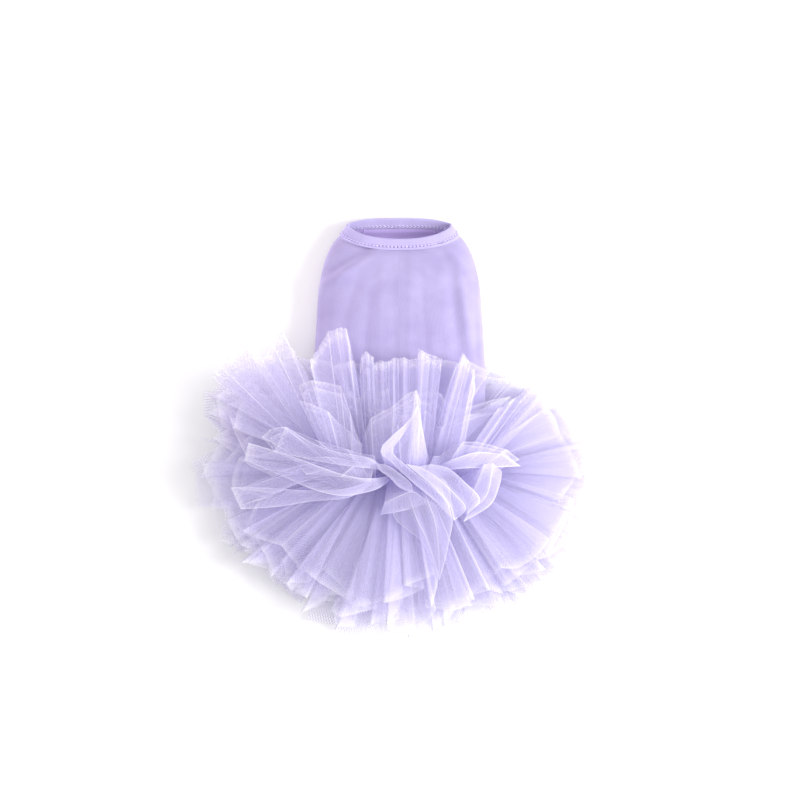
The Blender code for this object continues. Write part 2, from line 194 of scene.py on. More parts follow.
PANEL_JERSEY = jersey("lavender cotton jersey", "#aca4ce", "#9f95c2")
# Painted light: the inner face is paler and warmer than the outer one, for the light that comes through
# the thin cloth
INNER_JERSEY_LIT_THROUGH = jersey("lavender cotton jersey inner face painted lit through", "#cbb7f4", "#c0abe8")
print("made", PANEL_JERSEY.name, "and", INNER_JERSEY_LIT_THROUGH.name)


# %% [markdown]
# ## Jersey binding with needle holes
# The neck and leg edges are bound with a folded strip of the same jersey. A topstitch runs along it, and
# each stitch pulls a small dimple where the needle went down; the shade in each dimple is painted as a
# dark spot on the cloth's colour. The spots are drawn on the strip's own coordinates, which run along it
# and across it.

# %% Binding material
STITCH_PITCH = 3.8
STITCH_LINE = 8.7
NEEDLE_HOLE, HOLE_EDGE = 0.65, 1.4


def binding(name, pale, deep):
    cloth = jersey(name, pale, deep)
    tree = cloth.node_tree
    shader = tree.nodes["Principled BSDF"]
    place = add(tree, "ShaderNodeTexCoord")
    split = add(tree, "ShaderNodeSeparateXYZ", None, {0: place.outputs["UV"]})
    along = add(tree, "ShaderNodeMath", {"operation": "PINGPONG"},
                {0: split.outputs["X"], 1: STITCH_PITCH * MM / 2})
    across = add(tree, "ShaderNodeMath", {"operation": "SUBTRACT"},
                 {0: split.outputs["Y"], 1: STITCH_LINE * MM})
    spot = add(tree, "ShaderNodeCombineXYZ", None, {0: along.outputs[0], 1: across.outputs[0]})
    far = add(tree, "ShaderNodeVectorMath", {"operation": "LENGTH"}, {0: spot.outputs[0]})
    # Painted shade: the cloth is darkened round each needle hole, where the dimple would fall in shade
    hole_shade_mask = add(tree, "ShaderNodeMapRange", {"interpolation_type": "SMOOTHSTEP"},
               {"Value": far.outputs["Value"], "From Min": NEEDLE_HOLE * MM, "From Max": HOLE_EDGE * MM,
                "To Min": 1.0, "To Max": 0.0})
    was = shader.inputs["Base Color"].links[0].from_socket
    hole_shade_color = add(tree, "ShaderNodeMix", {"data_type": "RGBA"},
               {"Factor": hole_shade_mask.outputs["Result"], 6: was, 7: linear("#7f6db4")})
    tree.links.new(hole_shade_color.outputs[2], shader.inputs["Base Color"])
    return cloth


EDGE_BINDING = binding("lavender jersey binding", "#bab1de", "#aea5d3")
THREAD = jersey("lavender spun thread", "#e9e1fd", "#ddd2f8", "Object")
print("made", EDGE_BINDING.name, "and", THREAD.name)


# %% [markdown]
# ## Tulle
# Tulle is a stiffened net of very fine yarn, so it is mostly holes. One layer hardly shows, its cut edges
# and sharp creases show as thin pale lines, and many layers together turn lavender. So the cloth is a
# single sheet with an alpha: a little for the haze of the yarn, more on the net's lines, and more again
# along the creases and the cut hem. Creases and hem are also given a paler colour, a painted highlight for
# the light that they catch. The gathers at the waist are dense, so the net's lines run together there, and
# their deeper colour is partly the dye of the denser cloth and partly painted shade deep in the gathers.
# The real holes are about 1.2 mm and are drawn at 2.8 mm so that they show.

# %% Tulle material
NET_HOLE = 2.8
NET_LEAN = 0.72
YARN_INNER, YARN_OUTER = 0.10, 0.24
NET_RUN_TOGETHER = 0.55
NET_ALPHA, CREASE_ALPHA, HEM_ALPHA = 0.14, 0.40, 0.15


def tulle(name, body, pale, deep, haze):
    cloth, shader = new_finish(name, {
        "Roughness": 0.6, "Specular IOR Level": 0.2, "Sheen Weight": 0.2, "Sheen Tint": linear("#f6f2ff")})
    tree = cloth.node_tree
    place = add(tree, "ShaderNodeTexCoord")
    split = add(tree, "ShaderNodeSeparateXYZ", None, {0: place.outputs["UV"]})
    yarn = []
    for lean in (1.0, -1.0):
        slant = add(tree, "ShaderNodeMath", {"operation": "MULTIPLY_ADD"},
                    {0: split.outputs["Y"], 1: NET_LEAN * lean, 2: split.outputs["X"]})
        near = add(tree, "ShaderNodeMath", {"operation": "PINGPONG"},
                   {0: slant.outputs[0], 1: NET_HOLE * MM / 2})
        yarn.append(add(tree, "ShaderNodeMapRange", {"interpolation_type": "SMOOTHSTEP"},
                        {"Value": near.outputs[0], "From Min": YARN_INNER * NET_HOLE * MM,
                         "From Max": YARN_OUTER * NET_HOLE * MM, "To Min": 1.0, "To Max": 0.0}))
    net = add(tree, "ShaderNodeMath", {"operation": "MAXIMUM"},
              {0: yarn[0].outputs["Result"], 1: yarn[1].outputs["Result"]})
    crease, hem, dense_and_shade = (add(tree, "ShaderNodeAttribute", {"attribute_name": mark}).outputs["Fac"]
                          for mark in ("crease", "hem", "dense_and_shade"))
    gathered = add(tree, "ShaderNodeMix", None, {"Factor": dense_and_shade, 2: net.outputs[0], 3: NET_RUN_TOGETHER})
    # Haze, net, creases and hem each add their share to how much of the cloth is there
    alpha = haze
    for part, share in ((gathered.outputs[0], NET_ALPHA), (crease, CREASE_ALPHA), (hem, HEM_ALPHA)):
        alpha = add(tree, "ShaderNodeMath", {"operation": "MULTIPLY_ADD", "use_clamp": True},
                    {0: part, 1: share, 2: alpha}).outputs[0]
    # Painted highlight: creases and hem are mixed towards a paler colour where they would catch the light
    line = add(tree, "ShaderNodeMath", {"operation": "MAXIMUM"}, {0: crease, 1: hem})
    crease_highlight_color = add(tree, "ShaderNodeMix", {"data_type": "RGBA"},
                {"Factor": line.outputs[0], 6: linear(body), 7: linear(pale)})
    # Partly painted shade: the colour deepens where the cloth is dense, for the dye of the denser gathers
    # and the shade deep among them
    dyed = add(tree, "ShaderNodeMix", {"data_type": "RGBA"},
               {"Factor": dense_and_shade, 6: crease_highlight_color.outputs[2], 7: linear(deep)})
    tree.links.new(dyed.outputs[2], shader.inputs["Base Color"])
    tree.links.new(alpha, shader.inputs["Alpha"])
    return cloth


# Of the colours, the paler one is a painted highlight on creases and hem, and the deep one is partly
# painted shade in the gathers
SKIRT_TULLE = tulle("lavender nylon tulle", "#ded8fa", "#f3f0ff", "#b8aee6", 0.095)
print("made", SKIRT_TULLE.name)


# %% [markdown]
# ## The bodice's own shape
# The bodice is a tube that lies flat. Its sections are flattened ovals, broad and flat below and
# softly round above, worked out from the same sizes as the solids in the frame. A section is named by
# the place of its under side along the dress. A point on the tube is given by its section and by how
# far round it lies from the middle of the belly.

# %% Bodice sections
SECTION_COLUMNS = ("y_under", "y_over", "half_width", "z_under", "z_over")
SECTIONS = np.array([
    (211.5, 188.0, 51.5, 0.0, 30.0), (200.5, 175.8, 60.0, 0.0, 31.5), (192.0, 167.0, 66.5, 0.0, 32.5),
    (180.0, 157.0, 72.5, 0.0, 33.5), (163.0, 143.0, 77.5, 0.0, 34.5), (143.0, 127.0, 80.8, 0.0, 35.5),
    (120.0, 108.0, 82.3, 0.0, 36.5), (97.0, 89.0, 83.6, 2.0, 37.5), (72.0, 68.0, 84.8, 8.4, 39.0),
    (45.0, 43.0, 85.5, 14.4, 41.0), (15.0, 15.0, 85.0, 18.5, 42.5), (-15.0, -15.0, 83.5, 20.5, 43.0),
    (-45.0, -45.0, 82.0, 21.5, 42.5),
])[::-1]
BODICE_X = -1.0
BAND_TOP, BAND_LOW, NECK_BAND = 211.5, 200.5, 12.0
UNDER_ROUND, OVER_ROUND, SIDE_HEIGHT = 5.0, 2.3, 0.40
SECTION_POINTS = 241
NECK_ARC, NECK_LIFT, NECK_DIP = 6.0, 7.0, 2.0
NEAR_NECK, NECK_RISES = [165.0, 205.0], [193.0, 211.5]


def blends(t):
    # How much each end's value and each end's slope count on the way between them
    return 2 * t**3 - 3 * t**2 + 1, t**3 - 2 * t**2 + t, -2 * t**3 + 3 * t**2, t**3 - t**2


def section_at(y_under):
    keys = SECTIONS[:, 0]
    k = int(np.clip(np.searchsorted(keys, y_under) - 1, 0, len(keys) - 2))
    span = keys[k + 1] - keys[k]
    start, leave, end, arrive = blends((y_under - keys[k]) / span)
    found = []
    for column in range(1, len(SECTION_COLUMNS)):
        values = SECTIONS[:, column]
        slopes = np.gradient(values, keys)
        found.append(start * values[k] + leave * span * slopes[k]
                     + end * values[k + 1] + arrive * span * slopes[k + 1])
    y_over, half_width, z_under, z_over = found
    return y_over, half_width, max(0.0, z_under), z_over


def half_section(y_under):
    y_over, half_width, z_under, z_over = section_at(y_under)
    z_side = z_under + SIDE_HEIGHT * (z_over - z_under)
    angle = np.linspace(-math.pi / 2, math.pi / 2, SECTION_POINTS)
    power = np.where(angle < 0, UNDER_ROUND, OVER_ROUND)
    depth = np.where(angle < 0, z_side - z_under, z_over - z_side)
    x = half_width * np.abs(np.cos(angle)) ** (2 / power)
    z = z_side + np.sign(angle) * depth * np.abs(np.sin(angle)) ** (2 / power)
    height = (z - z_under) / (z_over - z_under)
    # Near the neck the ends of the opening sit high, the near edge hangs lower in its middle, and the
    # far edge is drawn down at its ends and stands off the surface
    near_neck = np.interp(y_under, NEAR_NECK, [0.0, 1.0])
    y = y_under + (y_over - y_under) * height ** (1 + 0.6 * near_neck) - NECK_DIP * near_neck * height**3
    y -= NECK_ARC * (x / half_width) ** 4 * (1 - height) ** 2 * near_neck
    z = z + NECK_LIFT * (1 - height) ** 2 * np.interp(y_under, NECK_RISES, [0.0, 1.0])
    line = np.stack([x, y, z], axis=1)
    lengths = np.concatenate([[0.0], np.cumsum(np.linalg.norm(np.diff(line, axis=0), axis=1))])
    return line, lengths


def on_bodice(y_under, girths):
    line, lengths = half_section(y_under)
    at = np.minimum(np.abs(girths), lengths[-1])
    spots = np.stack([np.interp(at, lengths, line[:, k]) for k in range(3)], axis=-1)
    spots[..., 0] = BODICE_X + np.sign(girths) * spots[..., 0]
    return spots


print("chest girth, mm:", round(2 * half_section(120.0)[1][-1]))
print("neck girth, mm:", round(2 * half_section(BAND_TOP)[1][-1]))


# %% [markdown]
# ## Back and belly panels
# The back panel wraps round both sides to the under side, where it meets the narrow belly panel and the
# two leg holes. Soft cloth that lies puffed has a few broad troughs and ridges, mostly from the shoulders
# down and along the sides, and faint streaks along the wales. They are listed in a small table, uneven as
# they are on the real one.

# %% Seam lines and creases
LEG_X, LEG_Y, HOLE_X, HOLE_Y, LEG_BAND = 42.0, 150.0, 17.0, 27.0, 8.0
UNDER_BAND = 3.0
PANEL_SINK, JERSEY_WALL, SEAM_GAP = 0.45, 1.1, 0.1
SEAM_KEYS, SEAM_PLACES = [-45.0, 90.0, 185.0, 211.5], [50.0, LEG_X, LEG_X, 33.0]
SEAM_DIP, SEAM_WIDTH = 0.7, 1.8
BAND_DIP, BAND_DIP_WIDTH, BAND_DIP_BELOW = 0.9, 1.6, 1.2

CREASE_COLUMNS = ("x", "y", "length", "width", "turn", "depth")
BACK_CREASES = [
    (-57.0, 150.0, 28.0, 7.5, 33.0, -5.8), (-52.0, 165.0, 24.0, 7.0, 33.0, 4.2),
    (-72.0, 118.0, 30.0, 6.0, 82.0, 1.2), (-52.0, 118.0, 40.0, 6.0, 72.0, 1.0),
    (57.0, 163.0, 22.0, 5.0, 131.0, -2.2), (64.0, 112.0, 44.0, 5.0, 97.0, -1.9),
    (76.0, 96.0, 50.0, 4.0, 91.0, 1.2), (54.0, 112.0, 40.0, 6.0, 96.0, 2.0),
    (-34.0, 92.0, 50.0, 5.0, 84.0, 0.9), (-20.0, 108.0, 44.0, 4.0, 88.0, -0.5),
    (-6.0, 96.0, 60.0, 4.5, 92.0, 0.55), (9.0, 104.0, 48.0, 3.6, 89.0, -0.4),
    (24.0, 98.0, 55.0, 4.0, 94.0, 0.6), (31.0, 150.0, 30.0, 7.0, 60.0, 0.7),
    (-14.0, 152.0, 26.0, 9.0, 30.0, 0.6), (-40.0, 60.0, 34.0, 6.0, 100.0, -0.7),
    (38.0, 58.0, 30.0, 6.0, 80.0, 0.8), (2.0, 160.0, 18.0, 6.0, 95.0, 0.5),
]
BELLY_CREASES = [
    (-12.0, 120.0, 34.0, 6.0, 86.0, -0.6), (14.0, 84.0, 30.0, 5.0, 98.0, -0.7),
    (0.0, 60.0, 40.0, 7.0, 90.0, -0.8), (-24.0, 66.0, 26.0, 5.0, 76.0, -0.5),
]


def crease_depth(points, creases):
    total = np.zeros(points.shape[:-1])
    for row in creases:
        crease = dict(zip(CREASE_COLUMNS, row))
        turn = math.radians(crease["turn"])
        dx, dy = points[..., 0] - crease["x"], points[..., 1] - crease["y"]
        along = (dx * math.cos(turn) + dy * math.sin(turn)) / crease["length"]
        across = (-dx * math.sin(turn) + dy * math.cos(turn)) / crease["width"]
        total += crease["depth"] * np.exp(-(along**2) - across**2)
    return total


def hole_half(y_under):
    reach_y, reach_x = HOLE_Y + LEG_BAND - UNDER_BAND, HOLE_X + LEG_BAND - UNDER_BAND
    return reach_x * math.sqrt(max(0.0, 1.0 - ((y_under - LEG_Y) / reach_y) ** 2))


def seam_x(y_under):
    return float(np.interp(y_under, SEAM_KEYS, SEAM_PLACES))


def outward_of(grid, up):
    normal = np.cross(np.gradient(grid, axis=1), np.gradient(grid, axis=0))
    normal /= np.maximum(np.linalg.norm(normal, axis=2, keepdims=True), 1e-9)
    middle = normal[normal.shape[0] // 2, normal.shape[1] // 2, 2]
    return normal if middle * up > 0 else -normal


# %% Back panel
PANEL_START, PANEL_END, PANEL_ROWS = BAND_LOW + 3.0, -44.7, 124


def panel(name, node, columns, reach, creases, up):
    rows = np.linspace(PANEL_START, PANEL_END, PANEL_ROWS)
    grid, across = [], []
    for y_under in rows:
        girths = reach(y_under, columns)
        grid.append(on_bodice(y_under, girths))
        across.append(girths)
    grid, across = np.array(grid), np.array(across)
    outward = outward_of(grid, up)
    facing = np.clip(outward[..., 2:] * up, 0.0, 1.0)
    seam_dip = np.zeros(grid.shape[:2])
    for i, y_under in enumerate(rows):
        from_seam = np.abs(across[i]) - seam_x(y_under)
        seam_dip[i] = SEAM_DIP * np.exp(-((from_seam / SEAM_WIDTH) ** 2))
    from_band = BAND_LOW - BAND_DIP_BELOW - rows
    below_band = BAND_DIP * np.exp(-((from_band / BAND_DIP_WIDTH) ** 2))[:, None]
    depth = crease_depth(grid, creases) * facing[..., 0] + PANEL_SINK + seam_dip + below_band
    grid -= outward * depth[..., None]
    grid[..., 2] = np.maximum(grid[..., 2], 0.05)
    uv = np.stack([across, np.repeat(rows[:, None], across.shape[1], axis=1)], axis=-1)
    i, j = 50, 40
    face_way = np.cross(grid[i, j + 1] - grid[i, j], grid[i + 1, j] - grid[i, j])
    piece = cloth_grid(name, grid, PANEL_JERSEY, uv, flip=bool(face_way @ outward[i, j] < 0))
    thicken(piece, JERSEY_WALL, INNER_JERSEY_LIT_THROUGH)
    put_on(piece, node)
    return piece


def back_reach(y_under, columns):
    half = half_section(y_under)[1][-1]
    start = seam_x(y_under) + hole_half(y_under) + SEAM_GAP
    share = np.linspace(-1.0, 1.0, columns)
    side = np.where(share < 0, -1.0, 1.0)
    return side * (half - (half - start) * np.abs(share))


def belly_reach(y_under, columns):
    edge = seam_x(y_under) - hole_half(y_under) - SEAM_GAP
    return edge * np.linspace(-1.0, 1.0, columns) + 1e-6


back = panel("back_cloth", "back_panel", 221, back_reach, BACK_CREASES, 1.0)
belly = panel("belly_cloth", "belly_panel", 91, belly_reach, BELLY_CREASES, -1.0)
print("panel faces:", len(back.data.polygons), len(belly.data.polygons))


# %% [markdown]
# ## Bindings
# A binding is a strip folded over the raw edge. Its fold is round, its free edge lies slightly proud
# of the panel, and the topstitch pulls it in a little at each stitch. It could be a curve with a bevel,
# but a small section swept between the edge and the seam keeps it flat on the cloth all the way round.
# A point of the section gives how far it lies from the fold, as a share of the band's width, and how
# deep it lies, as a share of its thickness.

# %% Bands round the neck and the legs
BAND_WALL = 2.2
NECK_POINTS, LEG_POINTS = 480, 200
PULL_DEPTH, PULL_WIDTH = 0.10, 0.12
OUTER_POINTS = 11
BAND_PROFILE = [
    (1.00, 0.30), (0.99, 0.12), (0.95, 0.00), (0.86, 0.03), (0.76, 0.13), (0.66, 0.05), (0.40, 0.04),
    (0.16, 0.00), (0.06, 0.04), (0.015, 0.22), (0.00, 0.50), (0.015, 0.78), (0.07, 0.94), (0.20, 0.96),
    (0.50, 0.92), (0.76, 0.96), (0.86, 0.93), (0.97, 0.80), (1.00, 0.62),
]


def round_length(line):
    return float(np.linalg.norm(np.roll(line, -1, axis=0) - line, axis=1).sum())


def band(name, node, edge, far, outward, width, stitch_line):
    steps = np.linalg.norm(np.roll(far, -1, axis=0) - far, axis=1)
    along = np.concatenate([[0.0], np.cumsum(steps)])
    along *= round(along[-1] / STITCH_PITCH) * STITCH_PITCH / along[-1]
    rows, down = [], []
    for k, (across, depth) in enumerate(BAND_PROFILE):
        pull = PULL_DEPTH * math.exp(-(((across - stitch_line / width) / PULL_WIDTH) ** 2))
        pucker = depth + pull * (0.5 + 0.5 * np.cos(2 * math.pi * along[:-1] / STITCH_PITCH))
        rows.append(edge * (1 - across) + far * across - outward * (BAND_WALL * pucker)[:, None])
        outer = 1.0 if k < OUTER_POINTS else -1.0
        down.append(outer * across * width + STITCH_LINE - stitch_line)
    grid = np.array(rows)
    uv = np.zeros((len(rows), len(edge) + 1, 2))
    uv[..., 0] = along
    uv[..., 1] = np.array(down)[:, None]
    middle = OUTER_POINTS // 2
    facing = np.cross(grid[middle, 1] - grid[middle, 0], grid[middle + 1, 0] - grid[middle, 0])
    inside_out = bool(facing @ outward[0] < 0)
    piece = cloth_grid(name, grid, EDGE_BINDING, uv, closed_round=True, flip=inside_out)
    put_on(piece, node)
    cut = ((round_length(edge) + round_length(far)) / 2 * MM, (2 * width + BAND_WALL) * MM)
    return piece, cut


def neck_lines(count):
    share = np.arange(count) / count
    share = np.where(share <= 0.5, share, share - 1.0)
    lines = []
    for y_under in (BAND_TOP, BAND_LOW):
        half = half_section(y_under)[1][-1]
        lines.append(on_bodice(y_under, 2.0 * half * share + 1e-9))
    edge, far = lines
    ahead = np.roll(edge, -1, axis=0) - np.roll(edge, 1, axis=0)
    outward = np.cross(ahead, far - edge)
    outward /= np.linalg.norm(outward, axis=1, keepdims=True)
    if np.dot(outward[0], edge[0] - edge.mean(axis=0)) < 0:
        outward = -outward
    return edge, far, outward


neck_edge, neck_far, neck_out = neck_lines(NECK_POINTS)
neck_band, neck_cut = band("neck_band", "neck_binding", neck_edge, neck_far, neck_out, NECK_BAND,
                           STITCH_LINE)


def leg_lines(side):
    turn = 2 * math.pi * np.arange(LEG_POINTS) / LEG_POINTS
    lines = []
    for extra in (0.0, LEG_BAND):
        x = LEG_X + (HOLE_X + extra) * np.cos(turn)
        y = LEG_Y + (HOLE_Y + extra) * np.sin(turn)
        lines.append(np.array([on_bodice(b, np.array([side * a]))[0] for a, b in zip(x, y)]))
    return lines[0], lines[1], np.tile(np.array([0.0, 0.0, -1.0]), (LEG_POINTS, 1))


LEG_STITCH_LINE = 5.6
leg_bands = []
for side, name in ((-1.0, "left"), (1.0, "right")):
    edge, far, down = leg_lines(side)
    made = band("leg_band_" + name, "leg_binding_" + name, edge, far, down, LEG_BAND, LEG_STITCH_LINE)
    leg_bands.append((*made, edge, far))
print("neck binding cut, m:", [round(c, 3) for c in neck_cut])


# %% [markdown]
# ## Topstitch and cover stitch
# On the outside the topstitch is a row of short thread loops. On the inside of the far edge, which
# the open neck shows, the same machine leaves a chain of small arrow-shaped loops. Both follow a line
# on the binding, so Geometry Nodes set one small stitch at even steps along a curve.

# %% Stitch shapes and tree
# A thread of about 0.7 mm, in a few millimetres of path for each stitch
TOP_THREAD, CHAIN_THREAD = 0.34, 0.36
TOP_PATH = [(-1.35, 0, -0.15), (-0.9, 0, 0.12), (0, 0, 0.2), (0.9, 0, 0.12), (1.35, 0, -0.15)]
CHAIN_PATH = [(-1.5, 1.5, 0.0), (-0.2, 1.1, 0.25), (1.5, 0.1, 0.3), (-0.2, -0.9, 0.25), (-1.5, -1.4, 0.0)]
THIN_END = 0.35


def stitch_mesh(name, path, radius, sides=6):
    points, faces = [], []
    path = [Vector(p) for p in path]
    for k, spot in enumerate(path):
        ahead = (path[min(k + 1, len(path) - 1)] - path[max(k - 1, 0)]).normalized()
        side = ahead.cross(Vector((0, 0, 1))).normalized()
        up = side.cross(ahead)
        size = radius * (THIN_END if k in (0, len(path) - 1) else 1.0)
        for s in range(sides):
            a = 2 * math.pi * s / sides
            points.append(spot + side * size * math.cos(a) + up * size * math.sin(a))
    for k in range(len(path) - 1):
        for s in range(sides):
            t = (s + 1) % sides
            faces.append((k * sides + s, k * sides + t, (k + 1) * sides + t, (k + 1) * sides + s))
    faces.append(tuple(range(sides)))
    last = (len(path) - 1) * sides
    faces.append(tuple(last + s for s in reversed(range(sides))))
    mesh = bpy.data.meshes.new(name)
    mesh.from_pydata([tuple(c * MM for c in p) for p in points], [], faces)
    return into_scene(name, mesh)


def stitch_tree():
    tree = bpy.data.node_groups.new("stitches along a line", "GeometryNodeTree")
    for name, kind, direction in (("Geometry", "Geometry", "INPUT"), ("Pitch", "Float", "INPUT"),
                                  ("Stitch", "Object", "INPUT"), ("Thread", "Material", "INPUT"),
                                  ("Geometry", "Geometry", "OUTPUT")):
        tree.interface.new_socket(name, in_out=direction, socket_type="NodeSocket" + kind)
    start = add(tree, "NodeGroupInput")
    steps = add(tree, "GeometryNodeResampleCurve", {"mode": "LENGTH"},
                {"Curve": start.outputs["Geometry"], "Length": start.outputs["Pitch"]})
    shape = add(tree, "GeometryNodeObjectInfo", None, {"Object": start.outputs["Stitch"]})
    along = add(tree, "GeometryNodeInputTangent")
    out = add(tree, "GeometryNodeInputNamedAttribute", {"data_type": "FLOAT_VECTOR"}, {"Name": "outward"})
    lie = add(tree, "FunctionNodeAxesToRotation", {"primary_axis": "X", "secondary_axis": "Z"},
              {0: along.outputs[0], 1: out.outputs["Attribute"]})
    row = add(tree, "GeometryNodeInstanceOnPoints", None,
              {"Points": steps.outputs[0], "Instance": shape.outputs["Geometry"],
               "Rotation": lie.outputs[0]})
    real = add(tree, "GeometryNodeRealizeInstances", None, {0: row.outputs[0]})
    dyed = add(tree, "GeometryNodeSetMaterial", None,
               {"Geometry": real.outputs[0], "Material": start.outputs["Thread"]})
    end = add(tree, "NodeGroupOutput")
    tree.links.new(dyed.outputs[0], end.inputs[0])
    return tree


def line_tree():
    tree = bpy.data.node_groups.new("edge loop to curve", "GeometryNodeTree")
    for direction in ("INPUT", "OUTPUT"):
        tree.interface.new_socket("Geometry", in_out=direction, socket_type="NodeSocketGeometry")
    start = add(tree, "NodeGroupInput")
    curve = add(tree, "GeometryNodeMeshToCurve", None, {"Mesh": start.outputs[0]})
    end = add(tree, "NodeGroupOutput")
    tree.links.new(curve.outputs[0], end.inputs[0])
    return tree


LINE = line_tree()
STITCHES = stitch_tree()
TOP_STITCH = stitch_mesh("top stitch", TOP_PATH, TOP_THREAD)
CHAIN_STITCH = stitch_mesh("chain stitch", CHAIN_PATH, CHAIN_THREAD)
print("stitch tree nodes:", len(STITCHES.nodes))


# %% Rows of stitches
STITCH_CLEAR, FLOOR_CLEAR = 0.05, 0.02
TOP_SINK = 0.10
CHAIN_SHARE = 0.70


def stitch_row(name, line, outward, shape, pitch):
    count = len(line)
    mesh = bpy.data.meshes.new(name)
    mesh.from_pydata([tuple(p * MM) for p in line], [(k, (k + 1) % count) for k in range(count)], [])
    mark = mesh.attributes.new("outward", "FLOAT_VECTOR", "POINT")
    mark.data.foreach_set("vector", outward.reshape(-1).astype(np.float32))
    holder = into_scene(name, mesh)
    holder.modifiers.new("line", "NODES").node_group = LINE
    row = holder.modifiers.new("stitches", "NODES")
    row.node_group = STITCHES
    values = {"Pitch": pitch * MM, "Stitch": shape, "Thread": THREAD}
    for item in STITCHES.interface.items_tree:
        if item.in_out == "INPUT" and item.name in values:
            row[item.identifier] = values[item.name]
    made = holder.evaluated_get(bpy.context.evaluated_depsgraph_get())
    result = bpy.data.meshes.new_from_object(made)
    holder.modifiers.clear()
    holder.data = result
    holder.data.name = name
    return holder


share = STITCH_LINE / NECK_BAND
outside = neck_edge * (1 - share) + neck_far * share - neck_out * TOP_SINK
inside = neck_edge * (1 - CHAIN_SHARE) + neck_far * CHAIN_SHARE - neck_out * (BAND_WALL + STITCH_CLEAR)
rows = [
    stitch_row("neck topstitch", outside, neck_out, TOP_STITCH, STITCH_PITCH),
    stitch_row("neck cover stitch", inside, -neck_out, CHAIN_STITCH, STITCH_PITCH),
]
share = LEG_STITCH_LINE / LEG_BAND
for piece, cut, edge, far in leg_bands:
    up = np.tile(np.array([0.0, 0.0, 1.0]), (len(edge), 1))
    line = edge * (1 - share) + far * share + up * (BAND_WALL + STITCH_CLEAR)
    rows.append(stitch_row("leg cover stitch", line, up, CHAIN_STITCH, STITCH_PITCH))
stitches = join("binding_stitches", rows)
for corner in stitches.data.vertices:
    corner.co.z = max(corner.co.z, FLOOR_CLEAR * MM)
for shape in (TOP_STITCH, CHAIN_STITCH):
    bpy.data.objects.remove(shape)
put_on(stitches)
print("stitch faces:", len(stitches.data.polygons))


# %% [markdown]
# ## How a tier of tulle is laid
# Each tier is a long strip, gathered into the flat waist and fanned out to the hem. A cloth simulation
# could drape it, but with so many thin folds on each other it is slow and hard to steer, so a sheet is
# worked out from two lines, the waist slot and the hem, with pleats between them. A pleat is a sharp
# fold line that leans to one side, so that it falls over its neighbour as real tulle does, and no two
# are alike. Several such sheets, each with its own pleats, make one tier as thick as the real one.

# %% Waist, hem and cover
CENTRE = np.array([0.5, -53.0])
REACH_TURNS = np.arange(0, 361, 15)
REACH = np.array([201, 193, 181, 158, 150, 132, 122, 130, 151, 186, 208, 205, 202, 191, 175, 168, 160,
                  157, 158, 159, 163, 180, 190, 192, 201], dtype=float)


def even_line(xs, ys):
    lengths = np.concatenate([[0.0], np.cumsum(np.hypot(np.diff(xs), np.diff(ys)))])
    return lengths / lengths[-1], xs, ys


def along_line(line, share):
    share = np.mod(share, 1.0)
    return np.stack([np.interp(share, line[0], line[1]), np.interp(share, line[0], line[2])], axis=-1)


turns = np.radians(np.linspace(0.0, 360.0, 1441))
hem_reach = np.interp(np.degrees(turns), REACH_TURNS, REACH)
HEM_LINE = even_line(hem_reach * np.cos(turns), hem_reach * np.sin(turns))


def slot_line(half_x, half_y):
    return even_line(half_x * np.cos(turns), half_y * np.sin(turns))


def ease(low, high, value):
    t = np.clip((value - low) / (high - low), 0.0, 1.0)
    return t * t * (3 - 2 * t)


def bodice_cover(x, y):
    return (1.0 - ease(88.0, 122.0, np.abs(x - BODICE_X))) * ease(-62.0, -44.0, y)


TOP_KEYS = (SECTIONS[:, 0] + SECTIONS[:, 1]) / 2


def bodice_heights(x, y):
    half = np.interp(y, TOP_KEYS, SECTIONS[:, 2])
    low = np.interp(y, TOP_KEYS, SECTIONS[:, 3])
    high = np.interp(y, TOP_KEYS, SECTIONS[:, 4])
    side = low + SIDE_HEIGHT * (high - low)
    inward = np.clip(np.abs(x - BODICE_X) / half, 0.0, 1.0)
    top = side + (high - side) * (1 - inward**OVER_ROUND) ** (1 / OVER_ROUND)
    under = side - (side - low) * (1 - inward**UNDER_ROUND) ** (1 / UNDER_ROUND)
    there = (np.abs(x - BODICE_X) < half) & (y > -46.0)
    return np.where(there, top, -1e3), np.where(there, under, 1e3)


def uneven(u, low, high, seed):
    # A smooth uneven line round the strip, mostly between -1 and 1
    source = np.random.RandomState(seed)
    total = np.zeros_like(u)
    for beat in range(low, high + 1):
        total += np.cos(2 * math.pi * (beat * u + source.rand())) * (0.6 + 0.8 * source.rand())
    return total / math.sqrt(high - low + 1)


print("hem round, mm:", round(float(np.sum(np.hypot(np.diff(HEM_LINE[1]), np.diff(HEM_LINE[2]))))))


# %% One gathered sheet
FACET_STEPS = np.array([0.0, 0.09, 0.36, 0.64, 0.91])
FOLD_SHARE = np.array([1.0, 0.22, 0.0, 0.0, 0.22])
SHEET_ROWS = 13
HALF_BODICE = 82.0
WAVE_AT_WAIST = 1.2
# How uneven the folds are: how far they lean, stray, drift together, end short, bulge and curl up
LEAN, STRAY, DRIFT, RAGGED, BULGE, CURL = 1.7, 0.55, 0.022, 0.28, 2.2, 5.0
# Where the upper sheets are parted beside the bodice: direction in degrees, half width and depth
PARTINGS = ((48.0, 15.0, 1.0), (130.0, 12.0, 0.6))


def round_drop(x, arch):
    # The waist and what lies on the bodice sink towards the sides, as the puffed tube does
    return arch * np.minimum(1.0, np.abs(x) / HALF_BODICE) ** 3


def fold_columns(folds, steps=FACET_STEPS):
    return (np.arange(folds)[:, None] + steps[None, :]).ravel()


def between_folds(columns, values, turn=0.0):
    # Straight from one fold line to the next, so the cloth between them is a flat facet
    return np.interp(columns, np.arange(len(values) + 1), np.append(values, values[0] + turn))[None, :]


def rise_between(v, heights):
    start, middle, hem = heights
    return start * (2 * v * v - 3 * v + 1) + middle * (4 * v - 4 * v * v) + hem * (2 * v * v - v)


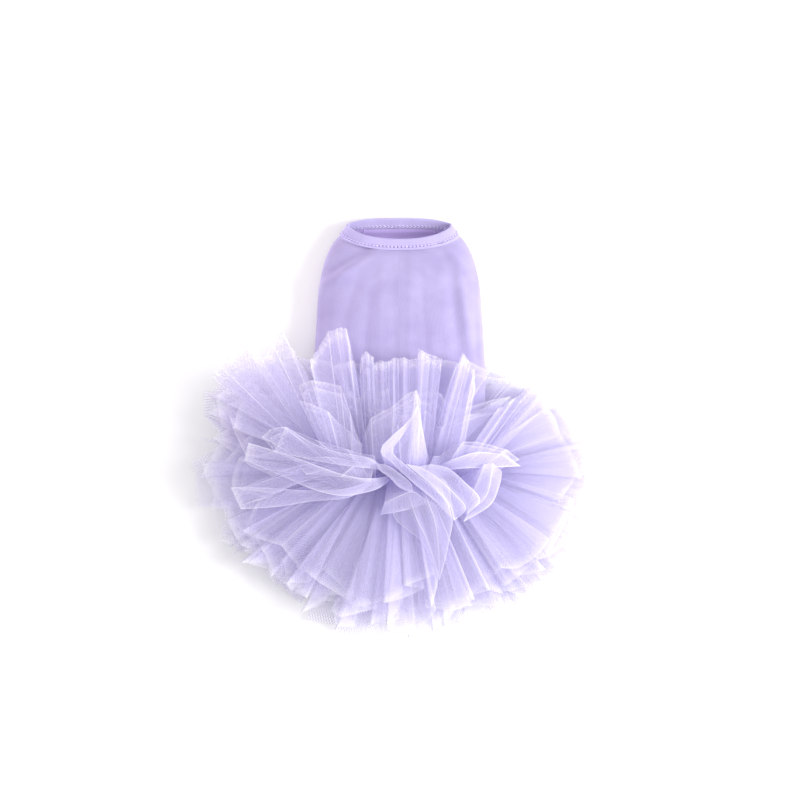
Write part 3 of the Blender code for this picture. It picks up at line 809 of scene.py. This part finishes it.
def gathered_sheet(name, tier, lift, share, north_share, folds, throw, seed):
    source = np.random.RandomState(seed)
    # Each fold has its own place at the waist and at the hem, its own height and its own length
    columns = fold_columns(folds)
    way = np.where(np.arange(folds) % 2 == 0, 1.0, -1.0)
    round_strip = np.arange(folds) / folds
    lean = np.clip(LEAN * uneven(round_strip, 2, 8, seed), -1.0, 1.0) * (0.7 + 0.6 * source.rand(folds))
    stray = STRAY * (source.rand(folds) - 0.5)
    at_waist = round_strip + (stray + way * lean * throw * 0.3) / folds
    drift = DRIFT * uneven(round_strip, 2, 7, seed + 1)
    at_hem = round_strip + (1.5 * stray + way * lean * throw) / folds + drift
    size = way * (0.45 + 0.75 * source.rand(folds))
    ragged = 0.02 - RAGGED * source.rand(folds) ** 1.6 + 0.015 * way
    ragged = np.minimum(ragged + 0.03 * uneven(round_strip, 2, 6, seed + 2), 0.04)
    bulge = np.repeat(BULGE * (source.rand(folds) - 0.5), len(FACET_STEPS))[None, :]
    curl = CURL * np.clip(uneven(round_strip, 3, 20, seed + 3), -0.6, 1.6)
    v = np.linspace(0.0, 1.0, SHEET_ROWS)[:, None]
    # The cloth is shorter over the bodice, short beside it where it is parted, and even to the right
    inner = along_line(slot_line(tier["slot_x"], tier["slot_y"]), between_folds(columns, at_waist, 1.0))
    hem = along_line(HEM_LINE, between_folds(columns, at_hem, 1.0))
    turn = np.degrees(np.arctan2(hem[..., 1], hem[..., 0]))
    north = np.where(turn > 0, ease(20.0, 75.0, 90.0 - np.abs(np.abs(turn) - 90.0)), 0.0)
    beside = sum(deep * np.exp(-(((turn - way_there) / wide) ** 2)) for way_there, wide, deep in PARTINGS)
    gap = 0.9 * (1.0 - north_share) * tier["over"]
    reach = share * (1.0 - north * (1.0 - north_share)) * (1.0 - gap * beside)
    east = ease(0.45, 0.95, np.cos(np.radians(turn)))
    reach = reach * (1.0 + between_folds(columns, ragged) * (1.0 - 0.6 * np.maximum(north, east)))
    flat = inner * (1 - v)[..., None] + hem * (reach * v)[..., None]
    x, y = CENTRE[0] + flat[..., 0], CENTRE[1] + flat[..., 1]
    # Its heights are blended between those on the surface and those over or under the bodice
    cover = bodice_cover(x, y)
    calm = (1 - cover) + cover * tier["wave_north"]
    drop = round_drop(inner[..., 0], tier["arch"]) * np.maximum(0.0, 1.0 - 2 * v)
    z = (rise_between(v, tier["open_z"]) - drop) * (1 - cover)
    z += (rise_between(v, tier["north_z"]) - round_drop(x - BODICE_X, tier["arch"])) * cover
    wave = WAVE_AT_WAIST + (tier["wave_out"] - WAVE_AT_WAIST) * v
    z += between_folds(columns, size) * wave * calm
    across = np.tile(FACET_STEPS, folds)[None, :]
    z += bulge * 4 * across * (1 - across) * v * calm + between_folds(columns, curl) * v**4 * calm
    z += lift * (0.25 + 0.75 * v) * ((1 - cover) + cover * tier["lift_north"])
    top, under = bodice_heights(x, y)
    # Each tier keeps its own small distance from the bodice, and some way off the surface
    spare = 0.9 + 0.35 * (seed % 5)
    z = np.maximum(z, top + spare) if tier["over"] else np.minimum(z, under - spare)
    z = np.maximum(z, 0.35 + 0.25 * (seed % 4))
    grid = np.stack([x, y, z], axis=-1)
    steps = np.linalg.norm(np.diff(grid[-1], axis=0, append=grid[-1][:1]), axis=1)
    uv = np.zeros((SHEET_ROWS, len(columns) + 1, 2))
    uv[..., 0] = np.concatenate([[0.0], np.cumsum(steps)])[None, :]
    uv[..., 1] = v * tier["depth"]
    # The marks that the tulle reads: sharp along the folds, the cut hem, and dense at the waist, where the
    # deeper colour is partly painted shade
    near_fold = np.tile(FOLD_SHARE, folds)[None, :]
    sharp = 0.12 + 0.95 * source.rand(folds) ** 2.2
    crease = near_fold * (0.06 + 0.94 * v) * (1 - 0.55 * v**4) * between_folds(columns, sharp)
    crease += 0.5 * (1 - v) ** 3
    edge = np.zeros_like(z)
    edge[-1] = 1.0
    dense_and_shade = np.ones_like(z) * (1 - v) ** 1.6
    marks = {"crease": np.clip(crease, 0, 1.4), "hem": edge, "dense_and_shade": dense_and_shade}
    return cloth_grid(name, grid, SKIRT_TULLE, uv, closed_round=True, marks=marks)


# Right at the waist the finest gathers are drawn as fewer ones, so the drawn cloth is a little short
DRAWN_SHARE = 0.9


def area_of(piece):
    return sum(face.area for face in piece.data.polygons)


# %% [markdown]
# ## The four wide tiers
# The two lower tiers lie under the bodice and on the surface, and the two upper ones lie over its end.
# Each has its heights at the waist, half way out and at the hem, away from the bodice and over or under
# it. The strips are cut as plain rectangles, and each sheet takes a whole strip. A row of sheets gives
# how high a sheet lies, how far it reaches, how much of that is left towards the neck, its fold lines,
# how far the folds are thrown over, and the seed of its unevenness.

# %% Wide tiers
TIERS = [
    dict(node="tulle_under_low", slot_x=79.0, slot_y=6.0, over=False, arch=0.0, depth=135.0,
         open_z=(15.5, 8.0, 4.0), north_z=(15.5, 7.2, 3.4),
         wave_out=3.0, wave_north=0.35, lift_north=0.15,
         sheets=[(0.0, 1.0, 0.93, 84, 0.75, 11), (2.0, 0.97, 0.93, 92, 0.9, 21),
                 (4.2, 0.95, 0.93, 80, 0.8, 31)]),
    dict(node="tulle_under_high", slot_x=77.0, slot_y=5.0, over=False, arch=0.0, depth=132.0,
         open_z=(20.0, 17.0, 11.0), north_z=(20.0, 14.5, 11.0),
         wave_out=4.5, wave_north=0.3, lift_north=0.1,
         sheets=[(0.0, 0.99, 0.72, 88, 0.95, 52), (4.5, 0.96, 0.72, 78, 0.85, 62)]),
    dict(node="tulle_over_low", slot_x=77.0, slot_y=3.6, over=True, arch=9.0, depth=130.0,
         open_z=(45.5, 35.0, 18.0), north_z=(45.5, 46.6, 45.0),
         wave_out=5.5, wave_north=0.6, lift_north=0.35,
         sheets=[(0.0, 0.99, 0.90, 82, 0.95, 83), (4.5, 0.94, 0.62, 72, 0.85, 93)]),
    dict(node="tulle_over_high", slot_x=74.0, slot_y=2.4, over=True, arch=9.0, depth=125.0,
         open_z=(49.5, 46.0, 27.0), north_z=(49.5, 52.0, 50.0),
         wave_out=6.5, wave_north=0.65, lift_north=0.5,
         sheets=[(0.0, 0.96, 0.68, 70, 0.9, 114), (6.0, 0.88, 0.55, 64, 1.0, 124)]),
]

for tier in TIERS:
    made = [gathered_sheet(tier["node"] + str(row[-1]), tier, *row) for row in tier["sheets"]]
    skirt = join(tier["node"].replace("tulle", "net"), made)
    put_on(skirt, tier["node"])
    deep = tier["depth"] * MM
    tier["piece"], tier["cloth"] = skirt, (area_of(skirt) / (DRAWN_SHARE * deep), deep)
    print(skirt.name, "faces", len(skirt.data.polygons), "area", round(area_of(skirt), 3),
          "flat", [round(c, 3) for c in tier["cloth"]])


# %% [markdown]
# ## Folds placed one by one
# The folds that catch the eye are not left to chance: the strips that lie up over the bodice, and the
# curled ruffle in the middle, which rises out of the waist and falls over in loose leaves. Each leaf is
# a short piece of the strip, drawn as a few fold lines. A fold line starts at the waist and ends at the
# hem, and it is given by its start, the place and height of its end, and how high it arches on its way.
# Where the ruffle rolls over or hangs down, a plain arch won't do. Such a drape is given by rails, each
# one a fold line with a point wherever it turns, from its root to its end.

# %% One leaf of tulle
FOLD_COLUMNS = ("waist_x", "end_x", "end_y", "end_z", "arch")
LEAF_STEPS = np.array([0.0, 0.045, 0.34, 0.66, 0.955])
LEAF_ROWS, DRAPE_ROWS = 16, 19
LEAF_DEPTH = 95.0
SIDE_EDGE = 0.5
SMALL_FOLDS = 1
ROOT_REACH = 13.0
WAIST_TOP, WAIST_ARCH = 52.0, 9.0
HIGHEST = 89.0
# A leaf's knee, where it bends over, is this far along it and this much higher than the arch
KNEE, KNEE_RISE = 0.42, 4.0
LEAF_BULGE, DRAPE_BULGE, LEAF_CLEAR = 5.0, 3.4, 2.5


def through(points, at, roundness=1.0):
    # A rounded line through the given points, or a straight one where the roundness is nought
    points = np.array(points, dtype=float)
    slopes = roundness * np.gradient(points, axis=0)
    k = np.minimum(at.astype(int), len(points) - 2)
    start, leave, end, arrive = blends((at - k)[:, None])
    return start * points[k] + leave * slopes[k] + end * points[k + 1] + arrive * slopes[k + 1]


def with_small_folds(folds, roundness, crumple, source):
    # Small folds come between those placed by hand, on a rounded line through their ends
    at = np.linspace(0.0, len(folds) - 1.0, (len(folds) - 1) * (SMALL_FOLDS + 1) + 1)
    fine = through(folds, at, roundness)
    placed = np.arange(len(at)) % (SMALL_FOLDS + 1) == 0
    fine[:, 1:3] += crumple * (source.rand(len(at), 2) - 0.5)
    fine[:, 3] += 0.5 * crumple * np.where(placed, 1.0, -1.0) * (0.4 + source.rand(len(at)))
    return fine, np.where(placed, 0.9, 0.12)


def leaf_columns(folds):
    return np.append(fold_columns(folds - 1, LEAF_STEPS), folds - 1.0)


def finish_leaf(name, grid, sharp, v, seed):
    # The cloth coordinates and the marks of a leaf, whose columns run from fold to fold
    columns = leaf_columns(len(sharp))
    top = bodice_heights(grid[..., 0], grid[..., 1])[0]
    grid[..., 2] = np.minimum(np.maximum(grid[..., 2], top + LEAF_CLEAR + 0.4 * (seed % 6)), HIGHEST)
    steps = np.linalg.norm(np.diff(grid[len(grid) // 2], axis=0), axis=1)
    uv = np.zeros((*grid.shape[:2], 2))
    uv[..., 0] = np.concatenate([[0.0], np.cumsum(steps)])[None, :] + 300.0 * seed
    uv[..., 1] = v * LEAF_DEPTH
    near_fold = np.append(np.tile(FOLD_SHARE, len(sharp) - 1), 1.0)[None, :]
    strength = np.interp(columns, np.arange(len(sharp)), sharp)[None, :]
    crease = near_fold * strength * (0.5 + 0.7 * np.minimum(1.0, 2 * v)) + 0.45 * (1 - v) ** 3
    edge = np.zeros(grid.shape[:2])
    edge[-1] = 1.0
    edge[:, 0] = edge[:, -1] = SIDE_EDGE
    # Painted shade as well as density: the colour deepens towards the waist and where a leaf lies lower,
    # under the others
    dense_and_shade = (1 - v) ** 2 * ease(80.0, 58.0, grid[..., 2])
    marks = {"crease": np.clip(crease, 0, 1.4), "hem": edge, "dense_and_shade": dense_and_shade}
    return cloth_grid(name, grid, SKIRT_TULLE, uv, marks=marks)


def leaf(name, folds, seed, roundness, crumple, sharpness=1.0):
    source = np.random.RandomState(seed)
    folds, sharp = with_small_folds(folds, roundness, crumple, source)
    columns = leaf_columns(len(folds))
    waist_x, end_x, end_y, end_z, arch = (
        np.interp(columns, np.arange(len(folds)), folds[:, k])[None, :] for k in range(len(FOLD_COLUMNS)))
    v = np.linspace(0.0, 1.0, LEAF_ROWS)[:, None]
    # A leaf starts a little past the seam, away from its end, so that leaves interlock there
    past = ROOT_REACH * np.sign(CENTRE[1] - end_y) * (0.6 + 0.5 * np.sin(0.7 * columns + 2.0 * seed))
    start = (waist_x, CENTRE[1] + past, WAIST_TOP - round_drop(waist_x, WAIST_ARCH))
    end = (end_x, end_y, end_z)
    knee = (start[0] + KNEE * (end[0] - start[0]), start[1] + KNEE * (end[1] - start[1]),
            (start[2] + end[2]) / 2 + arch + KNEE_RISE)
    x, y, z = ((1 - v) ** 2 * a + 2 * v * (1 - v) * c + v * v * b for a, c, b in zip(start, knee, end))
    across = np.append(np.tile(LEAF_STEPS, len(folds) - 1), 0.0)[None, :]
    bulge = np.append(np.repeat(source.rand(len(folds) - 1) - 0.5, len(LEAF_STEPS)), 0.0)[None, :]
    z = z + LEAF_BULGE * bulge * 4 * across * (1 - across) * v
    z = z + 1.2 * np.sin(0.9 * columns + 6.0 * v + seed) * v + 0.8 * np.sin(2.1 * columns + seed) * v**3
    return finish_leaf(name, np.stack([x, y, z], axis=-1), sharp * sharpness, v, seed)


def drape(name, rails, seed, lower):
    source = np.random.RandomState(seed)
    along = [np.linspace(0.0, len(rail) - 1.0, DRAPE_ROWS) for rail in rails]
    folds = np.stack([through(rail, at) for rail, at in zip(rails, along)], axis=1)
    columns = leaf_columns(len(rails))
    k = np.minimum(columns.astype(int), len(rails) - 2)
    t = (columns - k)[None, :, None]
    grid = folds[:, k] * (1 - t) + folds[:, k + 1] * t
    v = np.linspace(0.0, 1.0, DRAPE_ROWS)[:, None]
    bulge = (DRAPE_BULGE * (source.rand(len(rails)) - 0.35))[k][None, :]
    grid[..., 2] += bulge * 4 * t[..., 0] * (1 - t[..., 0]) * v - lower * v
    grid[..., :2] += (0.6 * lower * (source.rand(1, 1, 2) - 0.5)) * v[..., None]
    return finish_leaf(name, grid, 0.75 + 0.25 * source.rand(len(rails)), v, seed)


print("a fold line is given by", FOLD_COLUMNS)


# %% Strips laid up over the bodice and beside it
LAID_STRIPS = {
    "left_far": [
     (-72, -186, 46, 28, 16), (-70, -180, 58, 34, 18), (-64, -157, 78, 38, 20),
     (-60, -146, 62, 42, 18), (-54, -128, 66, 40, 18)],
    "left_mid": [
     (-66, -137, 60, 36, 16), (-60, -127, 77, 42, 18), (-54, -117, 88, 46, 18), (-46, -96, 52, 54, 16)],
    "left_near": [
     (-62, -90, 58, 52, 8), (-54, -71, 88, 47, 8), (-44, -63, 90, 51, 9), (-36, -53, 90, 52, 9),
     (-28, -44, 46, 56, 8)],
    "middle_left": [
     (-36, -40, 52, 53, 4), (-32, -38, 64, 52, 5), (-28, -34, 67, 54, 6), (-22, -27, 62, 51, 5)],
    "middle": [
     (-24, -28, 55, 53, 5), (-17, -19, 58, 56, 6), (-13, -14, 57, 51, 5), (-6, -7, 61, 55, 7),
     (-1, -2, 60, 51, 5), (3, 3, 61, 56, 7), (8, 9, 60, 51, 5), (13, 16, 60, 55, 6)],
    "middle_right": [
     (12, 17, 56, 50, 5), (14, 18, 69, 55, 7), (20, 29, 64, 51, 6), (28, 41, 60, 55, 7),
     (26, 36, 50, 52, 5)],
    "right_near": [
     (20, 50, 40, 50, 5), (26, 61, 66, 54, 8), (36, 67, 60, 50, 7), (50, 73, 51, 53, 7),
     (56, 74, 34, 48, 5)],
    "right_mid": [
     (52, 96, 10, 50, 14), (56, 112, 22, 42, 16), (60, 136, 44, 34, 18), (62, 143, 50, 32, 18),
     (66, 140, 30, 40, 18), (68, 158, 28, 30, 18)],
}

# %% The ruffle's leaves
CENTRE_LEAVES = {
    "kite_back": [
     (-34, -38, -30, 60, 12), (-26, -29, -3, 72, 18), (-10, -6, 9, 78, 22), (4, 16, 24, 84, 26),
     (10, 20, -2, 74, 20), (22, 26, -38, 62, 10)],
    "kite_front": [
     (-14, -19, -36, 70, 10), (2, -2, -11, 80, 18), (8, 15, 22, 87, 26), (15, 19, -4, 76, 20),
     (24, 27, -41, 62, 8)],
    "right_high": [
     (70, 118, -42, 54, 14), (66, 104, -33, 62, 18), (56, 88, -28, 66, 20), (42, 62, -26, 74, 22),
     (30, 44, -36, 66, 16), (22, 32, -42, 72, 12)],
    "left_long": [
     (-60, -158, -88, 50, 22), (-56, -124, -76, 64, 26), (-58, -160, -70, 52, 26),
     (-60, -128, -60, 66, 26), (-62, -140, -52, 56, 24), (-62, -156, -42, 52, 24)],
    "left_high": [
     (-62, -154, -36, 50, 22), (-62, -124, -34, 64, 24), (-60, -136, -18, 54, 22),
     (-56, -116, -9, 60, 24), (-48, -84, -25, 70, 22), (-36, -52, -34, 72, 18), (-24, -26, -42, 76, 10)],
    "left_inner": [
     (-24, -30, -66, 74, 14), (-34, -58, -62, 80, 20), (-44, -92, -58, 70, 22),
     (-46, -104, -44, 66, 22), (-40, -74, -42, 78, 20), (-28, -40, -48, 80, 14)],
    "upper_left": [
     (-66, -100, 33, 56, 16), (-60, -88, 37, 60, 18), (-50, -60, 30, 64, 18), (-44, -50, 2, 68, 16),
     (-36, -39, -26, 70, 12)],
    "upper_fold": [
     (-64, -99, 17, 58, 14), (-58, -88, 12, 66, 16), (-52, -72, 5, 66, 18), (-46, -50, -17, 70, 14),
     (-38, -38, -27, 66, 8)],
}


# %% The ruffle's drapes
DRAPES = {
    "hanging_leaf": [
     [(-6, -56, 54), (-7, -82, 66), (-6, -100, 60), (10, -114, 56), (24, -127, 54), (38, -160, 47)],
     [(6, -56, 54), (10, -84, 72), (16, -102, 68), (24, -118, 62), (31, -136, 56), (38, -160, 47)],
     [(20, -56, 54), (26, -84, 76), (33, -102, 72), (36, -118, 65), (38, -138, 57), (38, -160, 47)],
     [(36, -56, 54), (46, -88, 78), (51, -105, 72), (48, -122, 66), (44, -140, 58), (38, -160, 47)]],
    "right_bend": [
     [(66, -53, 52), (64, -56, 54), (60, -60, 54), (56, -66, 54)],
     [(82, -49, 74), (78, -60, 77), (72, -75, 72), (66, -92, 64)],
     [(91, -47, 70), (89, -62, 74), (84, -80, 68), (66, -97, 62)],
     [(100, -55, 66), (97, -70, 68), (88, -88, 62), (62, -104, 60)]],
    "right_wing": [
     [(30, -53, 56), (44, -48, 76), (60, -42, 80), (78, -37, 75), (102, -38, 64)],
     [(34, -54, 56), (46, -54, 70), (62, -53, 74), (86, -51, 68), (118, -48, 58)]],
    "right_leaf": [
     [(6, -53, 56), (18, -55, 58), (30, -58, 60), (42, -62, 60), (48, -70, 60)],
     [(5, -50, 83), (20, -63, 84), (36, -77, 82), (48, -92, 76), (52, -104, 70)],
     [(18, -52, 78), (34, -62, 80), (52, -78, 77), (64, -92, 69), (54, -103, 69)],
     [(30, -50, 80), (46, -54, 82), (62, -67, 80), (78, -85, 71), (56, -100, 68)]],
    "lower_flap": [
     [(-12, -58, 56), (-2, -58, 56), (8, -58, 58), (20, -62, 60)],
     [(-16, -87, 70), (-2, -81, 73), (12, -77, 76), (25, -86, 74)],
     [(-20, -98, 65), (-6, -96, 67), (8, -93, 70), (25, -87, 72)]],
    "left_low": [
     [(-20, -56, 56), (-50, -72, 70), (-90, -74, 66), (-130, -70, 58), (-167, -68, 48)],
     [(-18, -58, 56), (-48, -80, 66), (-87, -84, 62), (-120, -88, 54), (-157, -89, 44)]],
    "left_lip": [
     [(-8, -55, 56), (-18, -62, 72), (-38, -64, 80), (-58, -60, 80), (-84, -50, 76), (-112, -38, 66),
      (-150, -24, 52)],
     [(-6, -58, 56), (-20, -72, 72), (-38, -78, 74), (-60, -80, 73), (-87, -73, 70), (-116, -59, 63),
      (-154, -41, 52)]],
    "left_top": [
     [(-14, -53, 60), (-30, -45, 86), (-61, -38, 79), (-88, -27, 72), (-113, -9, 60)],
     [(-16, -53, 58), (-32, -54, 80), (-62, -50, 78), (-96, -42, 70), (-124, -34, 58)]],
    "small_flap": [
     [(-22, -52, 60), (-14, -54, 58), (-6, -56, 56), (2, -58, 56), (8, -62, 58)],
     [(-24, -50, 84), (-20, -57, 83), (-11, -63, 82), (-2, -72, 79), (9, -77, 76)],
     [(-24, -50, 86), (-12, -53, 88), (0, -61, 86), (10, -69, 80), (12, -76, 76)]],
    "rolled_fold": [
     [(10, -20, 70), (0, -32, 66), (-8, -42, 62), (-14, -50, 56), (-6, -53, 54), (8, -56, 54),
      (24, -60, 56), (40, -70, 60)],
     [(18, 10, 86), (8, -8, 88), (-6, -21, 88), (-20, -37, 86), (-7, -51, 87), (12, -69, 85),
      (32, -85, 80), (51, -103, 72)],
     [(18, 10, 86), (12, -6, 85), (2, -22, 85), (-8, -38, 85), (5, -52, 87), (27, -70, 86),
      (45, -86, 80), (51, -103, 72)]],
}


# %% [markdown]
# ## The ruffle and the laid strips
# Tulle is sewn on several layers deep, so each leaf has one or two linings below it, a little shorter
# and with fainter creases, and each drape is laid twice. The laid strips are joined to one piece, and
# the leaves and drapes to another, which stands for the curled ruffle's solid.

# %% Leaves with their linings
DRAPE_LAYERS, LAYER_DROP, LINING_DROP = 2, 1.6, 3


def drapes(table, seed):
    made = []
    for k, (title, rails) in enumerate(table.items()):
        for layer in range(DRAPE_LAYERS):
            made.append(drape(title + str(layer), rails, seed + 10 * k + layer, LAYER_DROP * layer))
    return made


def leaves(name, table, seed, roundness, crumple, linings, shorter, sharpness, more=()):
    made = list(more)
    for k, (title, folds) in enumerate(table.items()):
        made.append(leaf(title, folds, seed + k, roundness, crumple))
        for layer in range(1, linings + 1):
            short = 1.0 - shorter * layer
            lining = [(x, x + short * (end_x - x), CENTRE[1] + short * (end_y - CENTRE[1]),
                       end_z - LINING_DROP * layer, arch) for x, end_x, end_y, end_z, arch in folds]
            lining_seed = seed + 40 * layer + k
            made.append(leaf(title + "_lining", lining, lining_seed, roundness, 1.5 * crumple, sharpness))
    return join(name, made)


centre_ruffle = leaves("net_centre", CENTRE_LEAVES, seed=5, roundness=0.8, crumple=2.0, linings=1,
                       shorter=0.08, sharpness=0.35, more=drapes(DRAPES, 300))
put_on(centre_ruffle, "tulle_centre")
laid_strips = leaves("net_laid_strips", LAID_STRIPS, seed=90, roundness=0.3, crumple=1.2, linings=2,
                     shorter=0.02, sharpness=0.15)
put_on(laid_strips)
print("centre ruffle faces", len(centre_ruffle.data.polygons), "area", round(area_of(centre_ruffle), 4))


# %% [markdown]
# ## What the leg bindings were cut from
# The cut size of each leg binding is printed in metres, before it was laid round its hole. Tulle strips
# are long rectangles, and the panels and bindings are close to the size that they have on the dress.

for piece, cut, edge, far in leg_bands:
    print(piece.name, "cut, m:", [round(c, 3) for c in cut])


# %% [markdown]
# ## Floor, light and camera
# A pale floor and soft low daylight from the right give the light, high-key look, with a faint shadow
# to the left. A card on the left lifts the shade in the tulle, and a small mirror does the same for the
# bodice's shoulder. The camera looks almost straight down with a long lens, as one photographs clothes
# laid out.

# %% Floor and light
FLOOR_HALF = 4.0
# Lights are aimed at these places. The card and the mirror send the window's light back, a little warmer
DRESS, SHOULDER = (0.0, 0.0, 0.03), (-0.085, 0.14, 0.02)
SKY = 0.79


def floor():
    mesh = bpy.data.meshes.new("floor")
    corners = [(x * FLOOR_HALF, y * FLOOR_HALF, 0) for x, y in ((-1, -1), (1, -1), (1, 1), (-1, 1))]
    mesh.from_pydata(corners, [], [(0, 1, 2, 3)])
    paper, shader = new_finish("white paper sweep", {
        "Base Color": linear("#f8f8f9"), "Roughness": 0.95, "Specular IOR Level": 0.1})
    mesh.materials.append(paper)
    ground = into_scene("floor", mesh)
    ground.location.z = -0.2 * MM


def stand(holder, place, way):
    holder.location = place
    holder.rotation_mode = "QUATERNION"
    holder.rotation_quaternion = way.to_track_quat("-Z", "Y")


def soft_light(name, place, aim, size, power, code, spread=180.0):
    lamp = bpy.data.lights.new(name, "AREA")
    lamp.shape = "DISK"
    lamp.size = size
    lamp.energy = power
    lamp.spread = math.radians(spread)
    lamp.color = linear(code)[:3]
    stand(into_scene(name, lamp), place, Vector(aim) - Vector(place))


floor()
soft_light("window", (2.0, -0.25, 1.1), DRESS, 1.2, 71.0, "#fffefa")
soft_light("bounce card", (-1.3, 0.25, 0.42), DRESS, 0.9, 3.6, "#fff0ee")
soft_light("small mirror", (-0.8, 0.5, 0.33), SHOULDER, 0.2, 0.10, "#fff0ee", 26.0)
world = bpy.data.worlds.new("studio")
bpy.context.scene.world = world
world.use_nodes = True
background = world.node_tree.nodes["Background"]
background.inputs["Color"].default_value = linear("#fdfdff")
background.inputs["Strength"].default_value = SKY
bpy.context.scene.view_settings.view_transform = "Standard"
bpy.context.scene.view_settings.exposure = 0.0
bpy.context.scene.cycles.transparent_max_bounces = 64
print("lights made")


# %% Camera
ELEVATION = math.radians(80.0)
DISTANCE = 6.0
FOCAL_LENGTH = 272.5
AIM = Vector((-0.0005, 0.0227, 0.03))
lens = bpy.data.cameras.new("long lens")
lens.lens = FOCAL_LENGTH
camera = into_scene("camera", lens)
back_way = Vector((0.0, -math.cos(ELEVATION), math.sin(ELEVATION)))
stand(camera, AIM + back_way * DISTANCE, -back_way)
bpy.context.scene.camera = camera
print("camera at", [round(c, 3) for c in camera.location])
